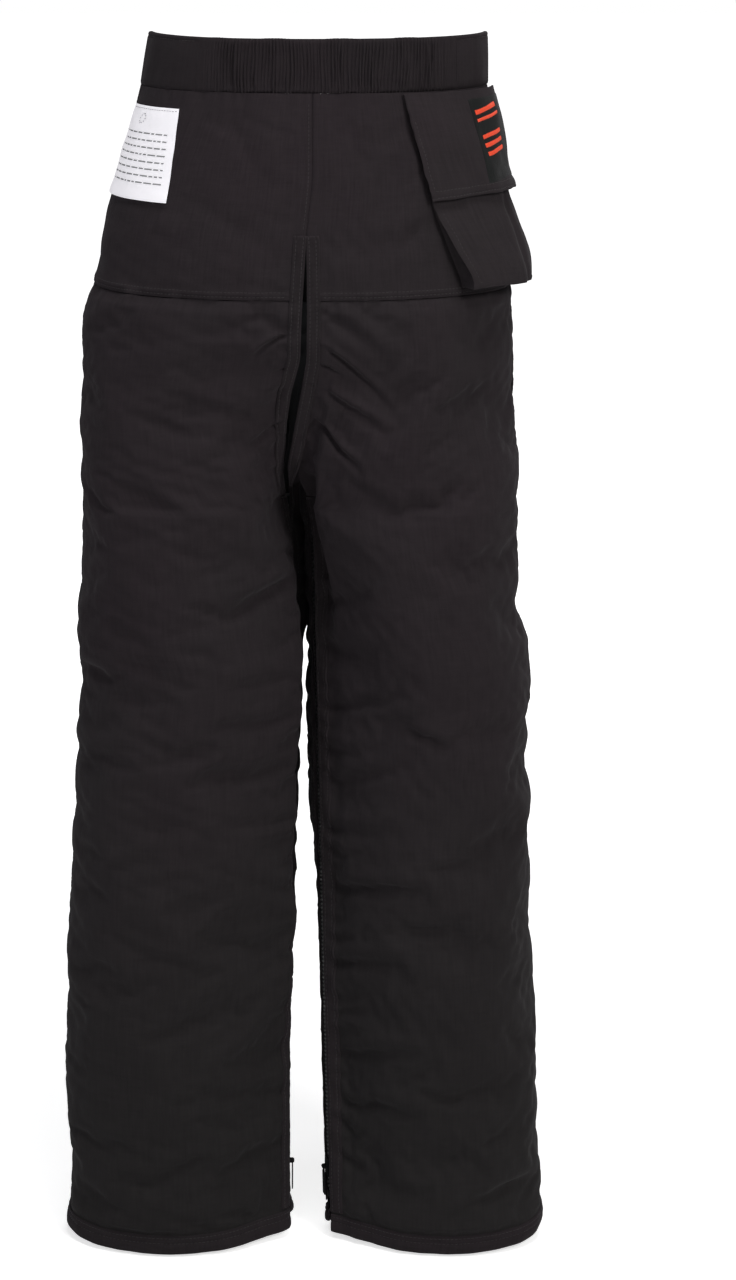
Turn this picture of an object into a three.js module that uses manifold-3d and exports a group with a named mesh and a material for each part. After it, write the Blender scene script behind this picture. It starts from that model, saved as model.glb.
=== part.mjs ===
// Full-wrap protective chaps: elastic back waistband, back yoke, two padded leg tubes closed by
// straight inner-leg zips, an open seat slit, a bellows pocket with a flap, and a front belt
// with a side-release buckle.
//
// Units are millimetres, +Z up. The wearer's back faces -Y and the wearer's right side is +X.
// The origin is at the bottom centre of the garment's bounding box.
import * as THREE from 'three';
import { mergeVertices } from 'three/addons/utils/BufferGeometryUtils.js';
import Module from 'manifold-3d';

const manifold = await Module();
manifold.setup();

// ---------------------------------------------------------------- driving dimensions
const TOTAL_H = 1060;          // hem to the top of the waistband
const BAND_BOTTOM = 1013;      // lower edge of the waistband
const YOKE_Z = 837;            // seam between the back yoke and the leg panels
const SLIT_TOP = 894;          // where the centre-back seam opens into the seat slit
const CROTCH_Z = 650;          // end of the closed leg tubes
const SPLIT_Z = 800;           // above this each leg panel follows the hip oval
const HEM_RISE = 12;           // the hem is about this much higher at the front than at the back
const HEM_RISE_END = 130;      // height where the hem's rise has faded out
const HEM_HALF_DEPTH = 62;
const WAIST_SLOPE = 0.36;      // fall of the waistband per unit of depth, in front of the side seams
const WAIST_BLEND = 10;        // softens the start of that slope
const ROUND = 2.25;            // superellipse exponent of every cross-section

// Fabric layers, as depths below the base surface
const SHELL_T = 1.6;
const PAD_OUT = 2.1, PAD_IN = 6.4;
const LINING_OUT = 7.1, LINING_IN = 8.2;
const PANEL_BOTTOM = 1.7;      // shell and lining stop just above the fold of the hem band
const PANEL_TOP = BAND_BOTTOM - 0.4;
const SEAM_GAP = 0.3;          // half the gap at the yoke seam
const SIDE_GAP_U = 0.0015;     // half the gap at the side seam, in u
const HEM_H = 16;
const EDGE_W = 12;             // width of the strips along the panel edges
const EDGE_IN = 0.75, EDGE_OUT = 1.75;

const BAND_T = 5.2;            // folded waistband
const BAND_FABRIC_T = 1.2;
const BAND_LOW = BAND_BOTTOM + 0.2;
const BACK_END = { left: -0.41, right: -0.27 };   // u where the elastic back part ends

const ZIP_GAP = 13;            // half the opening between panel edges at a zip
const CHAIN_HALF = 3.8;        // half width of the zip chain
const ZIP_BOTTOM = 36, ZIP_TOP = 640;   // ends of the zip chain
const SLIDER_Z = 58;
const ZIP_TURN = 0.21;         // angle of the right zip's face from straight inwards, radians
// Two points on each zip's straight line, and the direction its face looks
const ZIP_LINE = {
  left: { bottom: [-17, 0, 20], top: [-16, 0, CROTCH_Z], out: [1, 0, 0] },
  right: {
    bottom: [23, -12, 20],
    top: [7, -12, CROTCH_Z],
    out: [-Math.cos(ZIP_TURN), -Math.sin(ZIP_TURN), 0],
  },
};

const POCKET_BOTTOM = 846, POCKET_TOP = 1000;
const FLAP_BOTTOM = 916, FLAP_TOP = 1009;
const BUCKLE_H = 46, WEB_H = 36, WEB_T = 1.6;

// ---------------------------------------------------------------- measured tables: [z, value]
// x of the outermost line of each side
const OUTER_X = {
  left: [
    [0, -207], [22, -208], [75, -209], [130, -211.8], [200, -210], [270, -208], [340, -205.6],
    [412, -202], [465, -199.4], [520, -200], [570, -198.5], [625, -197.6], [695, -197.6],
    [767, -195.8], [802, -195], [838, -188], [873, -180.7], [908, -172.8], [950, -162],
    [BAND_BOTTOM, -145], [TOTAL_H, -145],
  ],
  right: [
    [0, 209], [22, 208], [75, 205.6], [164, 205.6], [235, 203], [306, 200], [377, 199.4],
    [448, 196], [501, 198.5], [554, 189], [625, 188.7], [695, 187.8], [767, 183.4], [838, 181],
    [894, 178], [950, 171], [BAND_BOTTOM, 161], [TOTAL_H, 161],
  ],
};
// half the front-to-back depth
const HALF_DEPTH = [
  [0, 60], [100, 64], [200, 71], [300, 78], [400, 84], [500, 90], [590, 96], [682, 102],
  [760, 108], [837, 110], [894, 108], [950, 100], [BAND_BOTTOM, 90], [TOTAL_H, 90],
];
// x where the back edges meet
const BACK_X = [
  [0, 0], [650, -4], [760, -2], [840, 0], [894, 2], [940, 6], [BAND_BOTTOM, 6], [TOTAL_H, 6],
];
// x where the front edges meet
const FRONT_X = [[0, 0], [650, 0], [800, 22], [950, 22], [BAND_BOTTOM, 6], [TOTAL_H, 6]];
// half the opening between the back edges, then between the front edges
const BACK_GAP = [
  [0, 9], [650, 9], [700, 8], [760, 6], [840, 4.5], [SLIT_TOP, 0.3], [TOTAL_H, 0.3],
];
const FRONT_GAP = [
  [0, 3], [650, 3], [720, 2], [900, 2], [950, 4], [BAND_BOTTOM, 40], [TOTAL_H, 40],
];

// Knots of the faceted base surface. u runs from -1 at the back edge, through 0 at the side
// seam, to +1 at the front edge.
const U_STEP = 1 / 8;
const U_KNOTS = Array.from({ length: 17 }, (_, i) => -1 + i * U_STEP);
const Z_KNOTS = [
  0, 16, 75, 150, 235, 320, 410, 500, 570, 625, CROTCH_Z, 682, 720, 760, SPLIT_Z, YOKE_Z,
  SLIT_TOP, 950, BAND_BOTTOM, TOTAL_H,
];
const CURVE_STEPS = 720;       // fine steps along a cross-section
const BLEND_POINTS = 401;      // points on each curve when leg and hip are blended

// ---------------------------------------------------------------- finishes
const CLOTH = { color: 0x2a2528, roughness: 0.86, metalness: 0 };
const CLOTH_DARK = { color: 0x201d1f, roughness: 0.9, metalness: 0 };
const LINER = { color: 0x1b1b1d, roughness: 0.8, metalness: 0 };
const PADDING = { color: 0xd9d2bd, roughness: 0.95, metalness: 0 };
const WEB = { color: 0x17171a, roughness: 0.75, metalness: 0 };
const PLASTIC = { color: 0x121214, roughness: 0.45, metalness: 0 };
const METAL = { color: 0x4a4a4e, roughness: 0.4, metalness: 0.8 };
const WHITE = { color: 0xe4e3e7, roughness: 0.7, metalness: 0 };
const ORANGE = { color: 0xdc4628, roughness: 0.6, metalness: 0 };

// ---------------------------------------------------------------- curves
const vec = (x, y, z) => new THREE.Vector3(x, y, z);
const signedPower = (value, power) => Math.sign(value) * Math.pow(Math.abs(value), power);
const lerp = (from, to, share) => from + (to - from) * share;
const lerpPoint = (from, to, share) => [
  lerp(from[0], to[0], share),
  lerp(from[1], to[1], share),
];

// Linear interpolation in [z, value] rows, held constant past both ends.
function lookUp(rows, z) {
  if (z <= rows[0][0]) return rows[0][1];
  for (let i = 1; i < rows.length; i++) {
    if (z <= rows[i][0]) {
      const [z0, value0] = rows[i - 1];
      const [z1, value1] = rows[i];
      return value0 + (value1 - value0) * (z - z0) / (z1 - z0);
    }
  }
  return rows[rows.length - 1][1];
}

// Evenly spaced points along a polyline, after trimming a length off each end.
function resample(points, trimStart, trimEnd, count) {
  const lengths = [0];
  for (let i = 1; i < points.length; i++) {
    const [x0, y0] = points[i - 1];
    const [x1, y1] = points[i];
    lengths.push(lengths[i - 1] + Math.hypot(x1 - x0, y1 - y0));
  }
  const total = lengths[lengths.length - 1];
  const result = [];
  let k = 1;
  for (let i = 0; i < count; i++) {
    const target = trimStart + (total - trimStart - trimEnd) * i / (count - 1);
    while (k < lengths.length - 1 && lengths[k] < target) k++;
    const share = (target - lengths[k - 1]) / (lengths[k] - lengths[k - 1]);
    result.push(lerpPoint(points[k - 1], points[k], share));
  }
  return result;
}

// The leg's ring at height z, broken at the zip.
function legCurve(side, z) {
  const sign = side === 'left' ? -1 : 1;
  const outerX = lookUp(OUTER_X[side], z);
  const halfDepth = lookUp(HALF_DEPTH, z);
  const { bottom, top } = ZIP_LINE[side];
  const zipShare = (Math.min(z, CROTCH_Z) - bottom[2]) / (top[2] - bottom[2]);
  const zipX = lerp(bottom[0], top[0], zipShare);
  const zipY = bottom[1];
  const depthShare = Math.abs(zipY / halfDepth);
  // size and turn the superellipse so that it starts and ends on the zip line
  const zipReach = Math.pow(1 - Math.pow(depthShare, ROUND), 1 / ROUND);
  const halfWidth = Math.abs(outerX - zipX) / (1 + zipReach);
  const centreX = outerX - sign * halfWidth;
  const startTurn = Math.sign(zipY) * Math.asin(Math.pow(depthShare, ROUND / 2));
  const ring = [];
  for (let i = 0; i <= CURVE_STEPS; i++) {
    const angle = -Math.PI - startTurn + 2 * Math.PI * i / CURVE_STEPS;
    ring.push([
      centreX + sign * halfWidth * signedPower(Math.cos(angle), 2 / ROUND),
      halfDepth * signedPower(Math.sin(angle), 2 / ROUND),
    ]);
  }
  return resample(ring, ZIP_GAP, ZIP_GAP, BLEND_POINTS);
}

// One side's half of the hip oval at height z.
function hipCurve(side, z) {
  const outerX = lookUp(OUTER_X[side], z);
  const halfDepth = lookUp(HALF_DEPTH, z);
  const half = [];
  for (let i = 0; i <= CURVE_STEPS; i++) {
    const angle = -Math.PI / 2 + Math.PI * i / CURVE_STEPS;
    const frontShare = (1 + Math.sin(angle)) / 2;
    const middleX = lookUp(BACK_X, z) * (1 - frontShare) + lookUp(FRONT_X, z) * frontShare;
    half.push([
      middleX + (outerX - middleX) * signedPower(Math.cos(angle), 2 / ROUND),
      halfDepth * signedPower(Math.sin(angle), 2 / ROUND),
    ]);
  }
  return resample(half, lookUp(BACK_GAP, z), lookUp(FRONT_GAP, z), BLEND_POINTS);
}

// One side's outline at height z, from its back edge round the outside to its front edge.
// Above the crotch the leg's ring opens out into the hip curve.
function outline(side, z) {
  const leg = legCurve(side, z);
  if (z <= CROTCH_Z) return resample(leg, 0, 0, U_KNOTS.length);
  const hip = hipCurve(side, z);
  const share = Math.pow(Math.min(1, (z - CROTCH_Z) / (SPLIT_Z - CROTCH_Z)), 0.7);
  const blended = leg.map((point, i) => lerpPoint(point, hip[i], share));
  return resample(blended, 0, 0, U_KNOTS.length);
}

// ---------------------------------------------------------------- base surface
const waistDrop = (y) => WAIST_SLOPE * 0.5 * (y + Math.hypot(y, WAIST_BLEND));

// Height of a surface point once the hem's rise and the waist's slope are applied.
function shapedHeight(y, z) {
  const hemShare = Math.max(0, 1 - z / HEM_RISE_END) * (0.5 + 0.5 * y / HEM_HALF_DEPTH);
  const waistShare = Math.min(1, Math.max(0, (z - YOKE_Z) / (BAND_BOTTOM - YOKE_Z)));
  return z + HEM_RISE * hemShare - waistDrop(y) * waistShare;
}

// Points and outward normals of one side at the knots, as rows of constant height.
function baseSurface(side) {
  const points = Z_KNOTS.map((z) => (
    outline(side, z).map(([x, y]) => vec(x, y, shapedHeight(y, z)))));
  const normals = points.map((row, j) => row.map((_, i) => {
    const along = row[Math.min(i + 1, row.length - 1)].clone().sub(row[Math.max(i - 1, 0)]);
    const above = points[Math.min(j + 1, points.length - 1)][i];
    const below = points[Math.max(j - 1, 0)][i];
    // the waistband stands upright
    const up = Z_KNOTS[j] >= BAND_BOTTOM ? vec(0, 0, 1) : above.clone().sub(below);
    const normal = along.cross(up).normalize();
    return side === 'left' ? normal.negate() : normal;
  }));
  return { points, normals };
}
const BASE = { left: baseSurface('left'), right: baseSurface('right') };

// Index of the knot interval that holds a value, and the share of the way across it.
function findCell(knots, value) {
  let i = 0;
  while (i < knots.length - 2 && value > knots[i + 1] + 1e-9) i++;
  return [i, (value - knots[i]) / (knots[i + 1] - knots[i])];
}

// A point on the triangular facets at u and z, moved outwards by an offset.
function surfacePoint(side, u, z, offset) {
  const [i, a] = findCell(U_KNOTS, u);
  const [j, b] = findCell(Z_KNOTS, z);
  const mix = (grid) => {
    const result = grid[j][i].clone().multiplyScalar(1 - Math.max(a, b));
    if (a >= b) result.addScaledVector(grid[j][i + 1], a - b);
    else result.addScaledVector(grid[j + 1][i], b - a);
    return result.addScaledVector(grid[j + 1][i + 1], Math.min(a, b));
  };
  return mix(BASE[side].points).addScaledVector(mix(BASE[side].normals), offset);
}

// Length of one side's outline at height z.
function sideLength(side, z) {
  const points = U_KNOTS.map((u) => surfacePoint(side, u, z, 0));
  return points.slice(1).reduce((sum, point, i) => sum + points[i].distanceTo(point), 0);
}

// A range's two ends, with the knots that lie between them.
const spanKnots = (knots, from, to) => (
  [from, ...knots.filter((knot) => knot > from + 1e-6 && knot < to - 1e-6), to]);

// ---------------------------------------------------------------- geometry builders
// Unindexed geometry from triangles, turned so that the enclosed volume is positive.
function geometryFrom(points, faces) {
  let volume = 0;
  for (const [a, b, c] of faces) {
    volume += points[a].dot(points[b].clone().cross(points[c])) / 6;
  }
  const turned = volume < 0 ? faces.map(([a, b, c]) => [a, c, b]) : faces;
  const positions = turned.flat().flatMap((k) => points[k].toArray());
  const geometry = new THREE.BufferGeometry();
  geometry.setAttribute('position', new THREE.Float32BufferAttribute(positions, 3));
  return geometry;
}

// A closed sheet between two grids of points, inner(i, j) and outer(i, j).
function sheet(nu, nz, inner, outer) {
  const points = [];
  const faces = [];
  for (const pointAt of [inner, outer]) {
    for (let i = 0; i < nu; i++) for (let j = 0; j < nz; j++) points.push(pointAt(i, j));
  }
  const id = (layer, i, j) => (layer * nu + i) * nz + j;
  const quad = (a, b, c, d) => faces.push([a, b, c], [a, c, d]);
  const iEnd = nu - 1;
  const jEnd = nz - 1;
  for (let i = 0; i < iEnd; i++) {
    for (let j = 0; j < jEnd; j++) {
      quad(id(1, i, j), id(1, i + 1, j), id(1, i + 1, j + 1), id(1, i, j + 1));
      quad(id(0, i + 1, j + 1), id(0, i + 1, j), id(0, i, j), id(0, i, j + 1));
    }
  }
  for (let i = 0; i < iEnd; i++) {
    quad(id(0, i, 0), id(0, i + 1, 0), id(1, i + 1, 0), id(1, i, 0));
    quad(id(1, i, jEnd), id(1, i + 1, jEnd), id(0, i + 1, jEnd), id(0, i, jEnd));
  }
  for (let j = 0; j < jEnd; j++) {
    quad(id(0, 0, j + 1), id(0, 0, j), id(1, 0, j), id(1, 0, j + 1));
    quad(id(1, iEnd, j + 1), id(1, iEnd, j), id(0, iEnd, j), id(0, iEnd, j + 1));
  }
  return geometryFrom(points, faces);
}

// A sheet on the base surface between two offsets. A column may be a function of z, and an
// offset a function of (u, z).
function patch(side, columns, rows, offsetIn, offsetOut) {
  const resolve = (value, ...args) => (typeof value === 'function' ? value(...args) : value);
  const layer = (offset) => (i, j) => {
    const z = rows[j];
    const u = resolve(columns[i], z);
    return surfacePoint(side, u, z, resolve(offset, u, z));
  };
  return sheet(columns.length, rows.length, layer(offsetIn), layer(offsetOut));
}

// A patch over a range of u and z that bends at every knot inside it.
const panel = (side, [u0, u1], [z0, z1], offsetIn, offsetOut) => (
  patch(side, spanKnots(U_KNOTS, u0, u1), spanKnots(Z_KNOTS, z0, z1), offsetIn, offsetOut));

// A closed profile carried through stations, each turning a profile point into a place.
function sweep(stations, profile) {
  const n = profile.length;
  const points = stations.flatMap((place) => profile.map(([a, b]) => place(a, b)));
  const faces = [];
  for (let k = 0; k < stations.length - 1; k++) {
    for (let i = 0; i < n; i++) {
      const a = k * n + i;
      const b = k * n + (i + 1) % n;
      faces.push([a, b, b + n], [a, b + n, a + n]);
    }
  }
  const flat = profile.map(([a, b]) => new THREE.Vector2(a, b));
  const clockwise = THREE.ShapeUtils.isClockWise(flat);
  const last = (stations.length - 1) * n;
  for (const [a, b, c] of THREE.ShapeUtils.triangulateShape([...flat], [])) {
    if (clockwise) faces.push([a, b, c], [last + c, last + b, last + a]);
    else faces.push([c, b, a], [last + a, last + b, last + c]);
  }
  return geometryFrom(points, faces);
}
const surfaceStation = (side, u) => (offset, z) => surfacePoint(side, u, z, offset);

// Rebuilds a geometry with every point moved to place(x, y, z).
function remap(geometry, place) {
  const source = geometry.index ? geometry.toNonIndexed() : geometry;
  const position = source.attributes.position;
  const points = [];
  const faces = [];
  for (let i = 0; i < position.count; i++) {
    points.push(place(position.getX(i), position.getY(i), position.getZ(i)));
    if (i % 3 === 2) faces.push([i - 2, i - 1, i]);
  }
  return mergeVertices(geometryFrom(points, faces), 1e-4);
}

function toSolid(geometry) {
  const bare = geometry.clone();
  bare.deleteAttribute('normal');
  bare.deleteAttribute('uv');
  const merged = mergeVertices(bare, 1e-4);
  return new manifold.Manifold(new manifold.Mesh({
    numProp: 3,
    vertProperties: new Float32Array(merged.attributes.position.array),
    triVerts: new Uint32Array(merged.index.array),
  }));
}
function fromSolid(solid) {
  const { numVert, numProp, vertProperties, triVerts } = solid.getMesh();
  const positions = new Float32Array(numVert * 3);
  for (let i = 0; i < numVert; i++) {
    for (let k = 0; k < 3; k++) positions[i * 3 + k] = vertProperties[i * numProp + k];
  }
  const geometry = new THREE.BufferGeometry();
  geometry.setAttribute('position', new THREE.BufferAttribute(positions, 3));
  geometry.setIndex(new THREE.BufferAttribute(new Uint32Array(triVerts), 1));
  return geometry;
}
const join = (...parts) => (
  fromSolid(parts.map(toSolid).reduce((whole, part) => whole.add(part))));
const cut = (body, tool) => fromSolid(toSolid(body).subtract(toSolid(tool)));
const box = ([x0, x1], [y0, y1], [z0, z1]) => (
  new THREE.BoxGeometry(x1 - x0, y1 - y0, z1 - z0)
    .translate((x0 + x1) / 2, (y0 + y1) / 2, (z0 + z1) / 2));

const chaps = new THREE.Group();
chaps.name = 'chainsaw_chaps';
function add(name, geometry, finish) {
  const mesh = new THREE.Mesh(geometry, new THREE.MeshStandardMaterial(finish));
  mesh.name = name;
  chaps.add(mesh);
}

// ---------------------------------------------------------------- waistband
// A folded casing across the back with the elastic inside it, and smooth front parts.
function addWaistband() {
  const stations = [
    ...spanKnots(U_KNOTS, -1, BACK_END.left).reverse().map((u) => surfaceStation('left', u)),
    ...spanKnots(U_KNOTS, -1, BACK_END.right).slice(1).map((u) => surfaceStation('right', u)),
  ];
  // profiles are [outward offset, z]
  const foldTop = TOTAL_H - BAND_FABRIC_T;
  const casing = [
    [0, BAND_LOW], [0, TOTAL_H], [-BAND_T, TOTAL_H], [-BAND_T, BAND_LOW],
    [-BAND_T + BAND_FABRIC_T, BAND_LOW], [-BAND_T + BAND_FABRIC_T, foldTop],
    [-BAND_FABRIC_T, foldTop], [-BAND_FABRIC_T, BAND_LOW],
  ];
  add('waistband_back', sweep(stations, casing), CLOTH_DARK);
  const elasticBottom = BAND_BOTTOM + 2;
  const elasticTop = TOTAL_H - 1.7;
  const elastic = [
    [-1.6, elasticBottom], [-1.6, elasticTop], [-3.6, elasticTop], [-3.6, elasticBottom],
  ];
  add('waist_elastic', sweep(stations, elastic), WEB);
  for (const side of ['left', 'right']) {
    const range = [BACK_END[side] + 0.0025, 1];
    const front = panel(side, range, [BAND_LOW, TOTAL_H], -BAND_T + 0.4, 0);
    add(`waistband_front_${side}`, front, CLOTH_DARK);
  }
}

// ---------------------------------------------------------------- leg layers and edges
function addLegLayers(side) {
  const back = [-1, -SIDE_GAP_U];
  const front = [SIDE_GAP_U, 1];
  const yoke = panel(side, back, [YOKE_Z + SEAM_GAP, PANEL_TOP], -SHELL_T, 0);
  const legBack = panel(side, back, [PANEL_BOTTOM, YOKE_Z - SEAM_GAP], -SHELL_T, 0);
  const legFront = panel(side, front, [PANEL_BOTTOM, PANEL_TOP], -SHELL_T, 0);
  const pad = panel(side, [-0.93, 0.93], [20, 645], -PAD_IN, -PAD_OUT);
  const lining = panel(side, [-0.985, 0.985], [PANEL_BOTTOM, 950], -LINING_IN, -LINING_OUT);
  add(`back_yoke_${side}`, yoke, CLOTH);
  add(`leg_back_panel_${side}`, legBack, CLOTH);
  add(`leg_front_panel_${side}`, legFront, CLOTH);
  add(`protective_pad_${side}`, pad, PADDING);
  add(`lining_${side}`, lining, LINER);
}

// Hem band folded round the bottom edge of shell and lining.
function addHemBand(side) {
  const profile = [   // [outward offset, z]
    [1.3, 0], [1.3, HEM_H], [0.3, HEM_H], [0.3, 1.2],
    [-8.6, 1.2], [-8.6, 12], [-9.6, 12], [-9.6, 0],
  ];
  const stations = U_KNOTS.map((u) => surfaceStation(side, u));
  add(`hem_band_${side}`, sweep(stations, profile), CLOTH_DARK);
}

// A strip on the outside of the panel, along its back edge (sign -1) or front edge (sign 1).
function edgeStrip(side, sign, z0, z1) {
  const widthU = (z) => 2 * EDGE_W / sideLength(side, z);
  const innerEdge = (z) => sign * (1 - widthU(z));
  // an extra row in each cell, where the strip's inner edge crosses the fold between two facets
  const foldRows = Z_KNOTS.slice(1).map((above, j) => {
    const below = Z_KNOTS[j];
    const share = widthU((below + above) / 2) / U_STEP;
    return below + (above - below) * (sign < 0 ? share : 1 - share);
  }).filter((z) => z > z0 + 1 && z < z1 - 1);
  const rows = [...spanKnots(Z_KNOTS, z0, z1), ...foldRows].sort((a, b) => a - b);
  return patch(side, sign < 0 ? [-1, innerEdge] : [innerEdge, 1], rows, EDGE_IN, EDGE_OUT);
}

function addEdgeStrips(side) {
  add(`slit_binding_${side}`, edgeStrip(side, -1, 662, 890), CLOTH_DARK);
  add(`zip_facing_${side}`, edgeStrip(side, -1, 40, 645), CLOTH_DARK);
  add(`front_binding_${side}`, edgeStrip(side, 1, 662, BAND_BOTTOM - 1), CLOTH_DARK);
}

// ---------------------------------------------------------------- inner-leg zips
// Zip parts are laid out as (across, out, z): across runs towards the wearer's front, and out
// points out of the leg.
const BAIL_OUT = 5.8;          // height of the bail's bar above the zip line

// Two plates joined by a bridge between the rows of teeth, with a bail for the pull.
function sliderShape() {
  const mirror = ([from, to]) => [-to, -from];
  const length = [-8, 8];
  const width = [-5.6, 5.6];
  const plate = [1.95, 3.4];
  const flangeAcross = [4.25, 5.6];
  const flangeOut = [0.95, 2.2];
  const post = [2.2, 3.2];
  const postOut = [3, BAIL_OUT + 0.5];
  return join(
    box(width, plate, length),
    box(width, mirror(plate), length),
    box([-0.42, 0.42], [-2.5, 2.5], [-7.5, -1.5]),
    ...[flangeOut, mirror(flangeOut)].flatMap((out) => [
      box(flangeAcross, out, length),
      box(mirror(flangeAcross), out, length),
    ]),
    box(mirror(post), postOut, [-1.2, 1.2]),
    box(post, postOut, [-1.2, 1.2]),
    box([-3.2, 3.2], [BAIL_OUT - 0.5, BAIL_OUT + 0.5], [-0.5, 0.5]),
  );
}

// A ring round the bail's bar, with a neck and a tab hanging below it.
function pullShape() {
  const barrel = (radius, length) => new THREE.CylinderGeometry(radius, radius, length, 16)
    .rotateZ(Math.PI / 2)
    .translate(0, BAIL_OUT, 0);
  const thickness = [BAIL_OUT - 0.6, BAIL_OUT + 0.6];
  const tab = box([-3.6, 3.6], thickness, [-24, -4.2]);
  const neck = box([-1.6, 1.6], thickness, [-5, -1.2]);
  return cut(join(barrel(1.75, 3.6), tab, neck), barrel(0.95, 5));
}

function addZip(side) {
  const line = ZIP_LINE[side];
  const bottom = vec(...line.bottom);
  const rise = vec(...line.top).sub(bottom);
  const outward = vec(...line.out);
  const forward = vec(0, 0, 1).cross(outward).multiplyScalar(side === 'left' ? 1 : -1);
  const zipPoint = (across, out, z) => bottom.clone()
    .addScaledVector(rise, (z - bottom.z) / rise.z)
    .addScaledVector(forward, across)
    .addScaledVector(outward, out);
  const extrude = (profile, z0, z1) => (
    sweep([z0, z1].map((z) => (across, out) => zipPoint(across, out, z)), profile));
  const block = ([a0, a1], [o0, o1], z0, z1) => (
    extrude([[a0, o0], [a1, o0], [a1, o1], [a0, o1]], z0, z1));

  // each stringer is a row of teeth with its thin tape
  for (const [place, sign] of [['front', 1], ['back', -1]]) {
    const teeth = sign * CHAIN_HALF;
    const profile = [
      [sign * 0.8, -1.5], [teeth, -1.5], [teeth, -0.5], [sign * 11.5, -0.5],
      [sign * 11.5, 0.5], [teeth, 0.5], [teeth, 1.5], [sign * 0.8, 1.5],
    ];
    add(`${side}_zip_stringer_${place}`, extrude(profile, ZIP_BOTTOM, ZIP_TOP), METAL);
  }
  const retainer = block([-5, 5], [-2.6, 2.6], ZIP_TOP + 0.6, ZIP_TOP + 8);
  const endStop = block([-4.2, 4.2], [-1.9, 1.9], ZIP_BOTTOM - 5, ZIP_BOTTOM - 0.6);
  const guard = block([-12, 12], [-9.2, -8.2], ZIP_BOTTOM, ZIP_TOP);
  add(`${side}_zip_retainer`, retainer, METAL);
  add(`${side}_zip_end_stop`, endStop, METAL);
  add(`${side}_zip_guard`, guard, LINER);

  const atSlider = (across, out, z) => zipPoint(across, out, SLIDER_Z + z);
  add(`${side}_zip_slider`, remap(sliderShape(), atSlider), METAL);
  add(`${side}_zip_pull`, remap(pullShape(), atSlider), METAL);
}

// ---------------------------------------------------------------- pocket on the right hip
// [z, outward offset] of the bag's outer face, continued up behind the flap
const BAG_FACE = [
  [POCKET_BOTTOM, 19], [852, 21.5], [866, 19], [880, 15.5], [894, 11.5], [908, 7.5],
  [922, 4.8], [950, 4], [POCKET_TOP, 3.2], [FLAP_TOP, 2.6],
];
const BAG_HEIGHTS = BAG_FACE.map(([z]) => z);
const BAG_FRONT_U = 0.3;
const BAG_WALL_U = 0.008;      // wall thickness at the bag's sides, in u
const TAPE_U = [-0.2, 0.15], TAPE_Z = [926, 946];

const overBag = (lift) => (u, z) => lookUp(BAG_FACE, z) + lift;

// A hollow bag, open at the top. Its back edge leans.
function addBag() {
  const backEdge = (z) => -0.45 + 0.07 * (POCKET_TOP - z) / (POCKET_TOP - POCKET_BOTTOM);
  const columns = (wall) => [
    (z) => backEdge(z) + wall,
    -0.375 + wall,
    ...spanKnots(U_KNOTS, -0.25, 0.25),
    BAG_FRONT_U - wall,
  ];
  const rows = spanKnots(BAG_HEIGHTS, POCKET_BOTTOM, POCKET_TOP);
  const hollowRows = [POCKET_BOTTOM + 1.4, ...rows.slice(1, -1), POCKET_TOP + 3];
  const hollowFace = (u, z) => Math.max(lookUp(BAG_FACE, z) - 1, 2);
  const block = patch('right', columns(0), rows, 0.8, overBag(0));
  const hollow = patch('right', columns(BAG_WALL_U), hollowRows, 1.6, hollowFace);
  add('pocket_bag', cut(block, hollow), CLOTH);
  const tape = panel('right', TAPE_U, TAPE_Z, overBag(0.35), overBag(1.35));
  add('pocket_loop_tape', tape, WEB);
}

function addFlap() {
  const columns = spanKnots(U_KNOTS, -0.49, 0.34);
  const rows = spanKnots(BAG_HEIGHTS, FLAP_BOTTOM, FLAP_TOP);
  add('pocket_flap', patch('right', columns, rows, overBag(3.6), overBag(5.4)), CLOTH);
  add('flap_hook_tape', panel('right', TAPE_U, TAPE_Z, overBag(2.2), overBag(3.2)), WEB);
  const badge = panel('right', [-0.12, 0.1], [938, 992], overBag(6.1), overBag(6.8));
  add('flap_patch', badge, ORANGE);
}

// Care label on the left of the back yoke.
function addCareLabel() {
  add('care_label', panel('left', [-0.45, -0.04], [917, 997], 1.5, 2), WHITE);
}

// ---------------------------------------------------------------- front belt
const BELT_Y = lookUp(HALF_DEPTH, TOTAL_H);   // front of the waistband
const BUCKLE_X = lookUp(BACK_X, TOTAL_H);
const BUCKLE_Z = (BAND_BOTTOM + TOTAL_H) / 2 + 0.2 - waistDrop(BELT_Y);
const BUCKLE_BACK = BELT_Y + 2.6, BUCKLE_FRONT = BUCKLE_BACK + 10;
const BAR_BACK = BUCKLE_BACK + 2.8, BAR_FRONT = BUCKLE_BACK + 6.2;

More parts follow.
